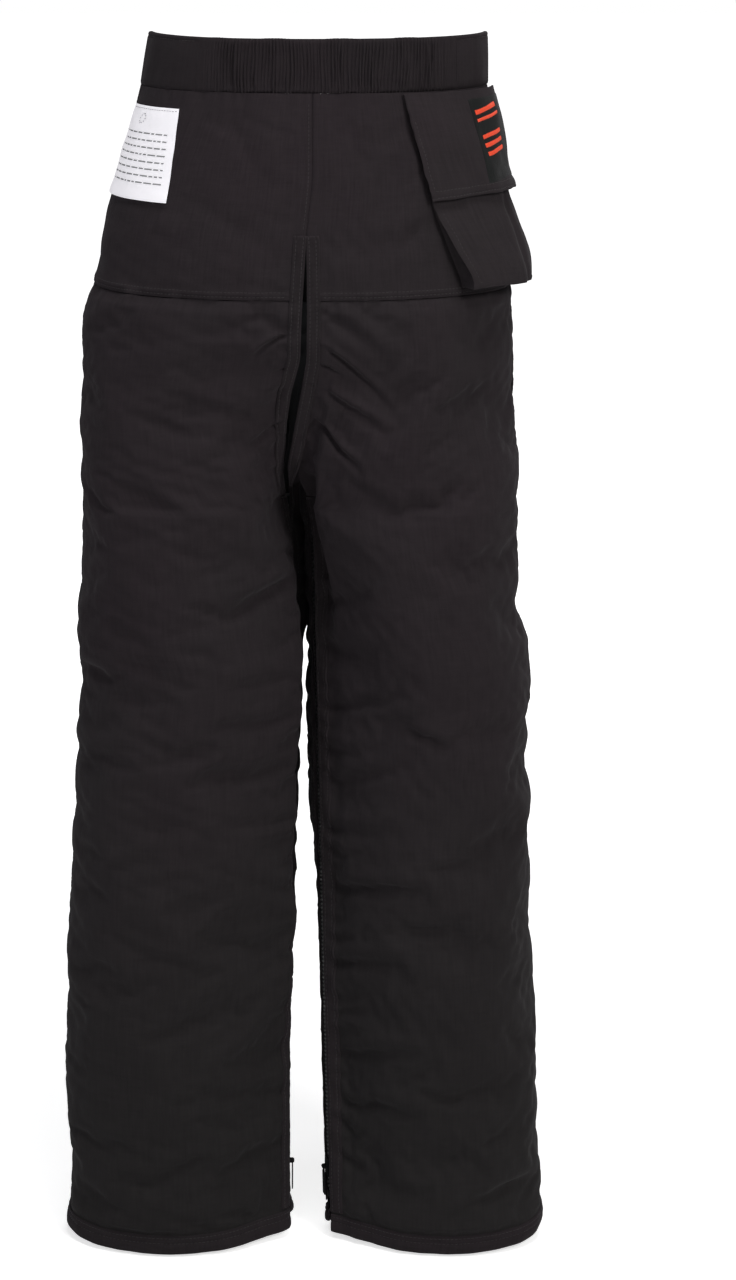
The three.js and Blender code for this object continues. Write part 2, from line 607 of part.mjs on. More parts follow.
function addBuckle() {
  const low = BUCKLE_Z - BUCKLE_H / 2;
  const high = BUCKLE_Z + BUCKLE_H / 2;
  // x is measured from the buckle's centre; a part spans the full height by default
  const part = (x0, x1, y0, y1, z0 = low, z1 = high) => (
    box([BUCKLE_X + x0, BUCKLE_X + x1], [y0, y1], [z0, z1]));
  const rails = (x0, x1) => [
    part(x0, x1, BAR_BACK - 1, BAR_FRONT + 1, low, low + 3),
    part(x0, x1, BAR_BACK - 1, BAR_FRONT + 1, high - 3, high),
  ];
  const bar = (x0, x1) => part(x0, x1, BAR_BACK, BAR_FRONT);
  add('buckle_female', join(
    part(-20, 8, BUCKLE_FRONT - 1.8, BUCKLE_FRONT),
    part(-20, 8, BUCKLE_BACK, BUCKLE_BACK + 1.8),
    part(-20.5, -16, BUCKLE_BACK, BUCKLE_FRONT),
    ...rails(-32, -18),
    bar(-32, -29),
  ), PLASTIC);
  const tongueBack = BUCKLE_BACK + 3.4;
  const tongueFront = BUCKLE_FRONT - 3.4;
  add('buckle_male', join(
    part(8.8, 14, BUCKLE_BACK, BUCKLE_FRONT),
    part(-14, 9.5, tongueBack, tongueFront, BUCKLE_Z - 4, BUCKLE_Z + 4),
    ...rails(13, 30),
    bar(20, 22.5),
    bar(27.5, 30),
  ), PLASTIC);
}

function addProngs() {
  const profile = [   // [x, height] from the buckle's centre
    [8, 13.4], [8, 17.6], [-6, 18.4], [-9, 21.2], [-13, 19.5], [-14, 15], [-12, 13.4],
  ];
  for (const [name, sign] of [['upper', 1], ['lower', -1]]) {
    const shape = new THREE.Shape(profile.map(([x, y]) => new THREE.Vector2(x, y)));
    const arm = new THREE.ExtrudeGeometry(shape, { depth: 5.6, bevelEnabled: false });
    const place = (x, height, depth) => (
      vec(BUCKLE_X + x, BUCKLE_BACK + 2.2 + depth, BUCKLE_Z + sign * height));
    add(`buckle_prong_${name}`, remap(arm, place), PLASTIC);
  }
}

// Upright webbing of even thickness that follows a path of [x, y] points.
function ribbon(path, thickness, z0, z1) {
  const points = path.map(([x, y]) => new THREE.Vector2(x, y));
  const last = points.length - 1;
  const heading = (i) => points[i + 1].clone().sub(points[i]).normalize();
  const leftEdge = [];
  const rightEdge = [];
  points.forEach(({ x, y }, i) => {
    const before = heading(Math.max(i - 1, 0));
    const after = heading(Math.min(i, last - 1));
    const middle = before.clone().add(after).normalize();
    // widen at bends so that the thickness holds
    const reach = (thickness / 2) / Math.max(0.5, middle.dot(before));
    leftEdge.push([x - middle.y * reach, y + middle.x * reach]);
    rightEdge.push([x + middle.y * reach, y - middle.x * reach]);
  });
  const stations = [z0, z1].map((z) => (x, y) => vec(x, y, z));
  return sweep(stations, [...leftEdge, ...rightEdge.reverse()]);
}

// Each webbing runs from the waistband behind its bar, turns round it and comes back in front.
function addWebbing() {
  const innerY = BELT_Y + 1.25;
  const outerY = innerY + 2.1;
  const behindBar = BAR_BACK - 1.2;
  const beforeBar = BAR_FRONT + 1.2;
  // x distances from the buckle's centre
  const sides = [
    { name: 'left', sign: -1, turnX: 26, barEndX: 33, tailX: 66 },
    { name: 'right', sign: 1, turnX: 17, barEndX: 31.5, tailX: 78 },
  ];
  for (const { name, sign, turnX, barEndX, tailX } of sides) {
    const path = [
      [84, innerY], [45, innerY], [34, behindBar], [turnX + 0.9, behindBar],
      [turnX, BAR_BACK - 0.3], [turnX, BAR_FRONT + 0.3],
      [turnX + 0.9, beforeBar], [barEndX, beforeBar], [46, outerY], [tailX, outerY],
    ].map(([x, y]) => [BUCKLE_X + sign * x, y]);
    const webbing = ribbon(path, WEB_T, BUCKLE_Z - WEB_H / 2, BUCKLE_Z + WEB_H / 2);
    add(`belt_webbing_${name}`, webbing, WEB);
  }
}

// ---------------------------------------------------------------- assembly
addWaistband();
for (const side of ['left', 'right']) {
  addLegLayers(side);
  addHemBand(side);
  addEdgeStrips(side);
  addZip(side);
}
addBag();
addFlap();
addCareLabel();
addBuckle();
addProngs();
addWebbing();

// Put the origin at the bottom centre of the whole garment.
const { min, max } = new THREE.Box3().setFromObject(chaps, true);
chaps.position.set(-(min.x + max.x) / 2, -(min.y + max.y) / 2, -min.z);
chaps.updateMatrixWorld(true);

export default chaps;
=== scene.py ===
import math

import bmesh
import bpy
import numpy as np
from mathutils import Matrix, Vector


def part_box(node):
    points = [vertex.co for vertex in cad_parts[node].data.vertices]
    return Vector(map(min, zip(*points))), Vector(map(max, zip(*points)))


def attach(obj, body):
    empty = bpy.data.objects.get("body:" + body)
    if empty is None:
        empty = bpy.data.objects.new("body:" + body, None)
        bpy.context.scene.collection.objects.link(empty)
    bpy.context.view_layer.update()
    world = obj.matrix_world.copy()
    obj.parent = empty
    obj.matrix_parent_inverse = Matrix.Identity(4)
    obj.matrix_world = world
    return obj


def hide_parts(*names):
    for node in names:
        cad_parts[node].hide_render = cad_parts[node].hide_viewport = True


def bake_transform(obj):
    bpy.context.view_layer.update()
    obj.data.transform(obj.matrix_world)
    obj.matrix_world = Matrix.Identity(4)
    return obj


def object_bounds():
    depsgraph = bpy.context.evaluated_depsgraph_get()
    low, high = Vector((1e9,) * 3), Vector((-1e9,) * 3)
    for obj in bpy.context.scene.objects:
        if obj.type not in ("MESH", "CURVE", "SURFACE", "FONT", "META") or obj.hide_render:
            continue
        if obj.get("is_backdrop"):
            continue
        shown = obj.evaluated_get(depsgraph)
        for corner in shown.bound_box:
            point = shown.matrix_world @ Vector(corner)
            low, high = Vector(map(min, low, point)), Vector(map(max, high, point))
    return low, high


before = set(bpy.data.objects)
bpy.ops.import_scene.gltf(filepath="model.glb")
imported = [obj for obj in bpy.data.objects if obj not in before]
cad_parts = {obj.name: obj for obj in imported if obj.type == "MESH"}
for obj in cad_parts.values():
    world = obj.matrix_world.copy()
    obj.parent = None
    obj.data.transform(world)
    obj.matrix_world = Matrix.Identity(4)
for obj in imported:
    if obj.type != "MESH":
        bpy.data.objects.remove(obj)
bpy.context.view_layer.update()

RNG = np.random.RandomState(4021)

# ------------------------------------------------------------------ frame
# The garment is worked out in millimetres about the buckle's place, then moved to the frame in metres.
_lo, _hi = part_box("buckle_female")
SHIFT = np.array([_lo.x * 1000 + 26.0, _lo.y * 1000 - 92.6, _lo.z * 1000 - 981.2])
ZIP_LINE = {"left": ((-17, 0, 20), (-16, 0, 650), (1, 0, 0)),
            "right": ((23, -12, 20), (7, -12, 650), (-math.cos(0.21), -math.sin(0.21), 0))}
EYE_D, EYE_H, VIEW_H = 3200.0, 1360.0, 1134.1      # camera distance, height and the height it sees at y = 0
ROUND = 2.25

OUT = {
    "left": [(-10, -208.2), (0, -210), (11, -208.2), (21.6, -208.2), (32.2, -206.4), (42.9, -205.6), (53.5, -207.3), (64.1, -207.3), (74.8, -209.1), (85.4, -210), (106.7, -210.9), (133.2, -211.8), (159.8, -210.9), (181.1, -210), (202.4, -210), (213, -209.1), (234.2, -209.1), (255.5, -209.1), (276.8, -208.2), (298, -207.3), (319.3, -206.4), (329.9, -205.6), (361.8, -205.6), (372.5, -203.8), (393.7, -202.9), (415, -202), (425.6, -200.2), (446.9, -201.1), (457.5, -200.2), (468.2, -198.5), (478.8, -197.6), (489.4, -194.9), (500, -197.6), (510.7, -199.3), (531.9, -201.1), (553.2, -200.2), (563.8, -198.5), (574.5, -197.6), (606.4, -197.6), (627.6, -196.7), (651.6, -197.6), (680.8, -197.6), (702.1, -197.6), (734, -197.6), (744.6, -195.8), (765.8, -195.8), (797.7, -194.9), (808.4, -194), (819, -192.3), (829.6, -188.7), (840.3, -186.1), (850.9, -183.4), (861.5, -181.6), (872.2, -180.7), (882.8, -179), (893.4, -176.3), (904.1, -173.7), (950, -162), (1013, -145.5), (1060, -145)],
    "right": [(-10, 204.7), (0, 206), (11, 210), (21.6, 208.2), (42.9, 207.3), (64.1, 206.4), (85.4, 205.6), (133.2, 205.6), (159.8, 205.6), (181.1, 204.7), (202.4, 203.8), (213, 202.9), (255.5, 201.1), (276.8, 201.1), (319.3, 200.2), (329.9, 199.3), (340.6, 198.5), (351.2, 197.6), (361.8, 197.6), (372.5, 198.5), (383.1, 199.3), (393.7, 199.3), (404.4, 197.6), (415, 195.8), (436.3, 197.6), (446.9, 195.8), (457.5, 195.8), (468.2, 198.5), (489.4, 199.3), (500, 198.5), (521.3, 197.6), (531.9, 194), (542.6, 190.5), (553.2, 188.7), (574.5, 189.6), (585.1, 188.7), (595.7, 186.9), (606.4, 186.1), (627.6, 188.7), (680.8, 188.7), (691.4, 187.8), (712.7, 186.1), (734, 183.4), (744.6, 182.5), (765.8, 183.4), (797.7, 183.4), (808.4, 182.5), (829.6, 182.5), (904.1, 176.8), (950, 171), (1013, 161.5), (1060, 161)],
}
INNER = {
    "left": [(0, -12.4), (11, -15.1), (21.6, -16.8), (42.9, -15.9), (53.5, -16.8), (74.8, -17.7), (106.7, -16.8), (149.2, -15.9), (159.8, -16.8), (181.1, -15.1), (202.4, -13.3), (234.2, -11.5), (255.5, -11.5), (276.8, -9.7), (340.6, -9.7), (361.8, -8), (383.1, -7.1), (404.4, -6.2), (425.6, -4.4), (436.3, -2.7), (468.2, -1.8), (518, -1.3), (560, -6), (600, -11), (650, -17)],
    "right": [(0, 22.1), (21.6, 20.9), (32.2, 21.3), (53.5, 23.9), (85.4, 23.9), (106.7, 22.1), (149.2, 19.5), (159.8, 17.7), (181.1, 15.9), (213, 14.2), (234.2, 13.3), (276.8, 12.4), (298, 11.5), (308.7, 9.7), (329.9, 8), (340.6, 7.1), (351.2, 5.3), (372.5, 3.5), (425.6, 3.5), (457.5, 4.4), (489.4, 3.5), (500, 2.7), (518, 0.9), (560, -1), (600, -3), (650, -4)],
}
DEPTH = [(0, 60), (100, 64), (200, 71), (300, 78), (400, 84), (500, 90), (590, 96), (682, 102), (760, 108), (837, 110), (894, 108), (950, 100), (1013, 90), (1060, 90)]
CENTRE_X = [(0, 0), (650, -4), (760, -2), (840, 0), (894, 1.1), (940, 6), (1013, 6), (1060, 6)]
FRONT_X = [(0, 0), (650, 0), (800, 22), (950, 22), (1013, 6), (1060, 6)]
SLIT_HALF = [(0, 9), (650, 9), (700, 8), (760, 6), (840, 4.5), (894, 0.0), (1060, 0.0)]
FRONT_HALF = [(0, 3), (650, 3), (720, 2), (900, 2), (950, 4), (1013, 40), (1060, 40)]
SLIT_EDGE = {"left": [(600, -15), (650, -17.5), (678, -20), (693, -18.3), (726, -16.5), (756, -12), (785, -4.6), (824, -3.4), (870, -0.6), (894, 1.0)],
             "right": [(600, 6), (650, 2), (668, -5), (685, -9.5), (700, -10.8), (726, -7.8), (757, -2.6), (785, 1.7), (824, 2.1), (870, 1.8), (894, 1.0)]}


def soft(rows, z, s=0.0):
    """A table read by straight lines, optionally averaged over a few millimetres."""
    rows = np.asarray(rows, float)
    z = np.asarray(z, float)
    if s <= 0:
        return np.interp(z, rows[:, 0], rows[:, 1])
    o = np.linspace(-2, 2, 9)
    w = np.exp(-o * o / 2)
    w /= w.sum()
    return sum(wk * np.interp(z + s * ok, rows[:, 0], rows[:, 1]) for wk, ok in zip(w, o))


def step(a, b, x):
    t = np.clip((np.asarray(x, float) - a) / (b - a), 0, 1)
    return t * t * (3 - 2 * t)


def spow(c, p):
    return np.sign(c) * np.abs(c) ** p


def resample(pts, trim0, trim1, share):
    acc = np.concatenate([[0], np.cumsum(np.hypot(*np.diff(pts, axis=0).T))])
    s = trim0 + (acc[-1] - trim0 - trim1) * share
    return np.stack([np.interp(s, acc, pts[:, 0]), np.interp(s, acc, pts[:, 1])], 1)


def zip_point(side, z):
    a, b, n = (np.array(v, float) for v in ZIP_LINE[side])
    p = a + (b - a) * (z - a[2]) / (b[2] - a[2])
    n2 = n[:2]
    t2 = np.array([-n2[1], n2[0]]) * (1 if side == "left" else -1)   # towards the front
    return p[:2], n2, t2


DENSE = np.linspace(0, 1, 601)
EDGE_WAY = {("left", -1): ((0.55, -0.83), 0.0, 30.0), ("left", 1): ((0.5, 0.87), 0.0, 30.0),
            ("right", -1): ((0.80, -0.60), 10.0, 44.0), ("right", 1): ((0.35, 0.94), 0.0, 26.0)}


def row(side, z, us):
    """One side's outline at height z, from its back edge (u = -1) round the outside to its front edge (u = 1)."""
    s = -1 if side == "left" else 1
    outer = float(soft(OUT[side], z, 5 if z < 1003 else 0))
    b, p = float(soft(DEPTH, z, 12 if z < 990 else 0)), 2 / ROUND
    zc = min(z, 650.0)
    zp, n2, t2 = zip_point(side, zc)
    inner, zy = float(soft(INNER[side], zc, 6)), ZIP_LINE[side][0][1]
    c = (1 - abs(zy / b) ** ROUND) ** (1 / ROUND)
    a = abs(outer - inner) / (1 + c)
    cx = outer - s * a
    off = np.sign(zy) * math.asin(abs(zy / b) ** (ROUND / 2))
    th = -math.pi - off + 2 * math.pi * np.linspace(0, 1, 1081)
    ring = np.stack([cx + s * a * spow(np.cos(th), p), b * spow(np.sin(th), p)], 1)
    flat_ = (0.30 + (0.16 if side == "right" else 0.06) * float(step(300, 400, z))) * (1 - float(step(520, 680, z)))      # the back of each leg slopes away to its inner edge
    ring[:, 1] *= np.where(ring[:, 1] < 0, 1 - flat_ * np.exp(-((ring[:, 0] - inner) / 52) ** 2), 1)
    leg = resample(ring, 9.5, 9.5, DENSE)
    total = np.hypot(*np.diff(leg, axis=0).T).sum()
    for end in (-1, 1):
        (dx, dy), flat, reach = EDGE_WAY[side, end]
        e = DENSE * total if end < 0 else (1 - DENSE) * total
        start = zp + t2 * 9.5 * end + n2 * 2.2
        way = start + np.outer(e, (dx, dy))
        k = np.where(e < flat, 1.0, (1 - np.clip((e - flat) / (reach - flat), 0, 1)) ** 2)
        if flat:
            k = 1 - step(flat, reach, e)
        leg = leg + (way - leg) * k[:, None]
    # bring the inner edge, as the camera sees it, to its place again
    e2 = np.minimum(DENSE, 1 - DENSE) * total
    inward = np.clip((leg[:, 0] - cx) / (inner - cx), 0, 1) ** 3 * step(0, 16, e2)
    seen_x = leg[:, 0] * EYE_D / (EYE_D + leg[:, 1])
    for _ in range(2):
        short = inner - (seen_x.max() if side == "left" else seen_x.min())
        leg[:, 0] += short * inward
        seen_x = leg[:, 0] * EYE_D / (EYE_D + leg[:, 1])
    w = min(1.0, max(0.0, z - 650) / 150) ** 0.7
    if side == "left":       # the thighs press together a little in front of the zips
        near = np.interp(46.0, leg[DENSE > 0.55][::-1, 1][:250][np.argsort(leg[DENSE > 0.55][::-1, 1][:250])], leg[DENSE > 0.55][::-1, 0][:250][np.argsort(leg[DENSE > 0.55][::-1, 1][:250])])
        push = float(soft(INNER["right"], zc, 6)) + 2.5 + 50 * w * (1 - float(step(684, 712, z))) - near
        leg[:, 0] += max(0.0, push) * float(step(512, 534, z)) * (1 - float(step(700, 740, z))) * np.exp(-((leg[:, 1] - 46) / 18) ** 2) * (leg[:, 0] > cx)
    q = leg
    if z > 650:
        ph = -math.pi / 2 + math.pi * np.linspace(0, 1, 721)
        turn = (1 + np.sin(ph)) / 2
        x0 = float(soft(CENTRE_X, z, 8)) * (1 - turn) + float(soft(FRONT_X, z, 8)) * turn
        half = np.stack([x0 + (outer - x0) * spow(np.cos(ph), p), b * spow(np.sin(ph), p)], 1)
        hip = resample(half, float(soft(SLIT_HALF, z)), float(soft(FRONT_HALF, z, 6)), DENSE)
        q = leg + (hip - leg) * w
    q = resample(q, 0, 0, DENSE)
    total = np.hypot(*np.diff(q, axis=0).T).sum()
    if 600 < z < 905:
        want = float(soft(SLIT_EDGE[side], z, 4))
        dx = (want - q[0, 0]) * float(step(602, 650, z)) * (1 - float(step(894, 905, z)))
        q[:, 0] += dx * np.exp(-(DENSE * total / 34) ** 1.6)
    if 880 < z < 1014:       # the seat seam is sewn with a small overlap
        q[:, 0] -= s * 0.6 * float(step(888, 900, z)) * np.exp(-(DENSE * total / 3.0) ** 2)
    return resample(q, 0, 0, (us + 1) / 2), total


def spaced(length, marks, fine, coarse, near, far):
    """Positions from 0 to length, close together near the marks."""
    out, x = [0.0], 0.0
    while x < length - 1e-6:
        d = min(abs(x - m) for m in marks)
        x += fine + (coarse - fine) * float(step(near, far, d))
        out.append(min(x, length))
    if out[-1] - out[-2] < 0.3 * fine:
        out.pop(-2)
    return np.array(out)


def with_values(a, extra, gap):
    keep = [v for v in a if min(abs(v - e) for e in extra) > gap]
    return np.array(sorted(set(keep) | set(extra)))


_x = [0.0]
while _x[-1] < 600:
    _x.append(_x[-1] + min(0.95 + 1.75 * float(step(44, 84, _x[-1])), 0.95 + 2.15 * float(step(3, 16, abs(_x[-1] - 300))), 0.95 + 2.15 * float(step(13, 30, 600 - _x[-1]))))
US = np.array(_x[:-1]) / 300 - 1
US = with_values(US, [-1.0, -0.00008, 0.00008, 1.0], 0.0022)
_x = [0.0]
while _x[-1] < 1013:
    _d = min(abs(_x[-1] - m) for m in (0, 8, 16, 833, 841, 1011))
    _x.append(_x[-1] + min(1.0 + 1.9 * float(step(5, 20, _d)), 1.5 + 1.4 * float(step(75, 110, abs(_x[-1] - 725)))))
ZS = np.array(_x[:-1])
ZS = with_values(ZS, [0.0, 1.2, 836.7, 837.3, 1012.6, 1013.0], 0.5)

# Creases and folds: lines of (x, z) in the plane y = 0 as the camera sees them, then depth (negative is a valley),
# half width and, for a valley, the share of it that stands up as a ridge on its upper side.
FOLDS = [
    ([(-15, 788), (-24, 785), (-32.8, 780), (-41, 773), (-49.6, 764)], -2.4, 2.0, 0.8),
    ([(-15.9, 758), (-22, 756), (-31, 752)], -1.5, 1.7, 0.6),
    ([(-16.8, 743), (-24, 732), (-30, 720), (-38, 706)], -2.6, 6.0, 0.5),
    ([(-16.8, 716), (-31, 704.7), (-44.3, 691.4), (-52, 683)], -2.6, 2.1, 0.8),
    ([(-10, 574), (-28, 563), (-44.3, 554), (-62, 541), (-79.7, 527)], -5.2, 6.5, 0.5),
    ([(-9, 600), (-30, 588), (-52, 570)], -1.6, 7.0, 0.4),
    ([(-8, 488), (-40, 480), (-70, 476), (-102, 484)], -1.5, 7.0, 0.5),
    ([(-8, 452), (-45, 444), (-90, 440), (-118, 446)], -1.5, 6.0, 0.6),
    ([(-10, 408), (-50, 398), (-100, 402)], -1.3, 7.0, 0.5),
    ([(-12, 360), (-55, 352), (-96, 346)], -1.1, 7.0, 0.5),
    ([(-14, 296), (-50, 302), (-82, 314)], -0.9, 8.0, 0.5),
    ([(-14, 120), (-50, 118), (-88, 104)], -1.3, 7.0, 0.5),
    ([(-16, 78), (-40, 70), (-66, 52), (-84, 36)], -1.6, 6.0, 0.5),
    ([(-92, 62), (-120, 46), (-146, 30)], -1.3, 6.0, 0.5),
    ([(-198, 500), (-178, 486), (-160, 480)], -1.6, 6.0, 0.4),
    ([(-190, 420), (-170, 412)], -1.0, 6.0, 0.4),
    ([(19.5, 806), (30, 800), (42, 792), (59.4, 775), (72, 758)], -2.4, 6.0, 0.9),
    ([(16.8, 777.4), (30, 768), (41.6, 757), (64.7, 734), (80, 716)], -2.4, 2.5, 0.9),
    ([(13.3, 761.4), (26.6, 754.3), (34, 747)], -1.6, 1.7, 0.5),
    ([(15.9, 739.3), (35.4, 725), (56.7, 711.8), (78, 696)], -2.4, 3.4, 1.2),
    ([(8, 713), (20, 699), (29.2, 687.9), (46, 673.7), (52, 656)], -3.2, 2.3, 0.7),
    ([(34, 664), (60, 640), (92, 622)], -1.4, 8.0, 0.5),
    ([(8, 713), (0, 704), (-8, 699)], -1.0, 1.8, 0.3),
    ([(6, 560), (32, 552), (62, 560)], -1.5, 7.0, 0.4),
    ([(8, 520), (34, 505), (66, 500)], -1.6, 8.0, 0.4),
    ([(6, 462), (30, 458), (62, 462), (92, 470)], -1.7, 6.0, 0.5),
    ([(86, 436), (112, 428), (128, 418)], -1.5, 4.5, 0.6),
    ([(8, 428), (36, 420), (70, 414)], -1.2, 6.0, 0.5),
    ([(8, 398), (30, 392), (64, 398), (98, 404)], -1.6, 6.5, 0.5),
    ([(10, 356), (28, 350), (56, 346), (92, 352)], -1.8, 7.0, 0.5),
    ([(16, 336), (34, 328), (56, 328)], -1.2, 4.0, 0.5),
    ([(107, 315), (130, 318), (150, 322)], -1.2, 4.5, 0.5),
    ([(16, 303), (34, 297), (70, 296), (116, 294)], -2.6, 6.5, 0.7),
    ([(86, 262), (104, 258), (124, 262), (140, 260)], -1.8, 6.0, 0.6),
    ([(18, 252), (34, 254), (46, 250)], -1.2, 4.0, 0.5),
    ([(19, 232), (46, 231), (79, 229), (90, 214), (96, 206)], -2.4, 6.0, 0.6),
    ([(22, 187), (42, 186), (66, 184)], -1.4, 4.0, 0.6),
    ([(24, 152), (47, 150), (76, 151), (108, 150)], -2.4, 6.0, 0.7),
    ([(25, 134), (40, 130)], -1.0, 3.5, 0.4),
    ([(26, 112), (46, 104), (62, 106), (90, 98), (118, 90)], -2.0, 5.0, 0.7),
    ([(101, 120), (122, 112), (140, 106)], -1.6, 5.0, 0.5),
    ([(27, 95), (40, 86), (52, 76)], -1.7, 4.0, 0.6),
    ([(27, 66), (42, 56), (54, 40)], -1.6, 4.0, 0.6),
    ([(153, 70), (170, 80), (186, 96)], -1.9, 6.0, 0.6),
    ([(146, 20), (180, 34), (206, 46)], -1.5, 6.0, 0.5),
    ([(176, 178), (186, 160)], -1.0, 5.0, 0.4),
    # the yoke: soft diagonals from the side towards the seat seam
    ([(-96, 905), (-66, 886), (-30, 866)], -0.9, 9.0, 0.6),
    ([(-140, 880), (-110, 868), (-80, 862)], -0.8, 8.0, 0.6),
    ([(-70, 980), (-50, 950), (-40, 915)], -0.8, 9.0, 0.5),
    ([(40, 985), (44, 950), (38, 915), (22, 885)], -0.9, 9.0, 0.5),
    ([(84, 950), (70, 920), (48, 890)], -0.9, 9.0, 0.6),
    ([(118, 895), (96, 876), (70, 862)], -0.9, 8.0, 0.5),
]


def view_plane(P):
    k = EYE_D / (EYE_D + P[..., 1])
    return P[..., 0] * k, EYE_H + (P[..., 2] - EYE_H) * k


def fold_height(X, Z):
    h = np.zeros_like(X)
    for line, depth, wide, ridge in FOLDS:
        line = np.array(line, float)
        best, side_, along = np.full(X.shape, 1e9), np.zeros_like(X), np.zeros_like(X)
        seg = np.hypot(*np.diff(line, axis=0).T)
        acc = np.concatenate([[0], np.cumsum(seg)])
        for i in range(len(line) - 1):
            a, d = line[i], (line[i + 1] - line[i]) / seg[i]
            t = np.clip((X - a[0]) * d[0] + (Z - a[1]) * d[1], 0, seg[i])
            dx, dz = X - a[0] - d[0] * t, Z - a[1] - d[1] * t
            r = np.hypot(dx, dz)
            m = r < best
            best = np.where(m, r, best)
            up = np.sign(d[0] * dz - d[1] * dx) * (1 if d[0] >= 0 else -1)
            side_ = np.where(m, up, side_)
            along = np.where(m, (acc[i] + t) / acc[-1], along)
        taper = step(0, 0.14, along) * (1 - step(0.45, 1.0, along)) * 0.8 + 0.2 * (1 - step(0.8, 1, along))
        w = wide * (0.75 + 0.7 * along)
        valley = np.exp(-(best / w) ** 2)
        over = np.exp(-((best * side_ - 1.9 * w) / (1.25 * w)) ** 2)
        h += depth * taper * valley - depth * ridge * 0.75 * taper * over
    return h


def puckers(e, z, z0, z1, gap, depth, reach, slope, seed):
    """Short gathers that run in from a sewn edge; e is the distance from it."""
    r = np.random.RandomState(seed)
    h, at_z = np.zeros_like(z), z0
    while at_z < z1:
        amp, long_, wide = depth * (0.45 + 0.75 * r.rand()), reach * (0.5 + 0.9 * r.rand()), gap * (0.20 + 0.12 * r.rand())
        lean, sharp = slope + 0.35 * (r.rand() - 0.5), 0.6 + 0.4 * r.rand()
        d = z - at_z - lean * e
        h += amp * np.exp(-(e / long_) ** 1.4) * (sharp * -np.exp(-(d / wide) ** 2) + 0.55 * np.exp(-((d - 1.9 * wide) / (1.3 * wide)) ** 2))
        at_z += gap * (0.55 + 0.95 * r.rand())
    return h


def rolling(x, z, seed, size, stretch=1.0):
    """Smooth unevenness from a few fixed waves."""
    r = np.random.RandomState(seed)
    h = np.zeros_like(x)
    for i in range(9):
        a, k = r.rand() * math.tau, 2 * math.pi / (size * (0.6 + 1.1 * r.rand()))
        h += np.sin((x * math.cos(a) * stretch + z * math.sin(a)) * k + r.rand() * math.tau + 1.3 * np.sin(z * k * 0.31 + i))
    return h / 4.2


def normals(P, side):
    du = np.gradient(P, axis=1)
    dz = np.gradient(P, axis=0)
    n = np.cross(du, dz)
    n /= np.linalg.norm(n, axis=2, keepdims=True) + 1e-12
    return -n if side == "left" else n


def relax(side, P, arc, keep):
    """The outer fabric is let loose between its seams for a moment, a little too large for its frame, and settles into shallow swells."""
    iu = [0]
    for i in range(1, P.shape[1]):
        if arc[150, i] - arc[150, iu[-1]] > 5.4 or i == P.shape[1] - 1:
            iu.append(i)
    iz = [0]
    for j in range(1, P.shape[0]):
        if ZS[j] - ZS[iz[-1]] > 5.4 or j == P.shape[0] - 1:
            iz.append(j)
    Q = P[np.ix_(iz, iu)]
    nz, nu = Q.shape[:2]
    me = bpy.data.meshes.new("relax")
    idx = np.arange(nz * nu).reshape(nz, nu)
    quads = np.stack([idx[:-1, :-1], idx[:-1, 1:], idx[1:, 1:], idx[1:, :-1]], -1).reshape(-1, 4)
    me.from_pydata((Q.reshape(-1, 3) / 1000).tolist(), [], quads.tolist())
    ob = bpy.data.objects.new("relax", me)
    bpy.context.scene.collection.objects.link(ob)
    pin = ob.vertex_groups.new(name="pin")
    K = keep[np.ix_(iz, iu)].ravel()
    for level in (1.0, 0.5, 0.2):
        ids = [int(i) for i in np.nonzero(K >= level - 1e-6)[0]]
        if level < 1:
            ids = [int(i) for i in np.nonzero((K >= level - 1e-6) & (K < level * 2 - 1e-6))[0]]
        if ids:
            pin.add(ids, level, "REPLACE")
    mod = ob.modifiers.new("settle", "CLOTH")
    s = mod.settings
    s.quality, s.mass, s.air_damping = 6, 0.25, 3.0
    s.tension_stiffness = s.compression_stiffness = 18
    s.shear_stiffness, s.bending_stiffness = 8, 1.4
    s.tension_damping = s.compression_damping = 12
    s.bending_damping = 2.0
    s.vertex_group_mass, s.pin_stiffness = "pin", 1.2
    s.shrink_min = -0.030
    s.use_pressure, s.uniform_pressure_force = True, (0.35 if side == "right" else -0.35)
    s.effector_weights.gravity = 0.0
    mod.collision_settings.use_collision = False
    mod.collision_settings.use_self_collision = False
    sc = bpy.context.scene
    mod.point_cache.frame_start, mod.point_cache.frame_end = 1, 40
    for f in range(1, 23):
        sc.frame_set(f)
    dg = bpy.context.evaluated_depsgraph_get()
    ev = ob.evaluated_get(dg)
    co = np.zeros(nz * nu * 3, np.float32)
    ev.data.vertices.foreach_get("co", co)
    D = co.reshape(nz, nu, 3).astype(float) * 1000 - Q
    bpy.data.objects.remove(ob)
    bpy.data.meshes.remove(me)
    sc.frame_set(1)
    size = np.linalg.norm(D, axis=2, keepdims=True)
    D *= np.where(size > 1e-6, np.tanh(size / 7.0) * 7.0 / np.maximum(size, 1e-6), 1)
    # back to the fine grid with smooth curves both ways
    full = np.zeros((nz, P.shape[1], 3))
    xu = arc[150]
    for j in range(nz):
        full[j] = smooth_interp(xu[iu], D[j], xu)
    out = np.zeros(P.shape)
    for i in range(P.shape[1]):
        out[:, i] = smooth_interp(ZS[iz], full[:, i], ZS)
    print("relax", side, nz, nu, "largest", round(float(size.max()), 2), "mean", round(float(size.mean()), 2))
    return out


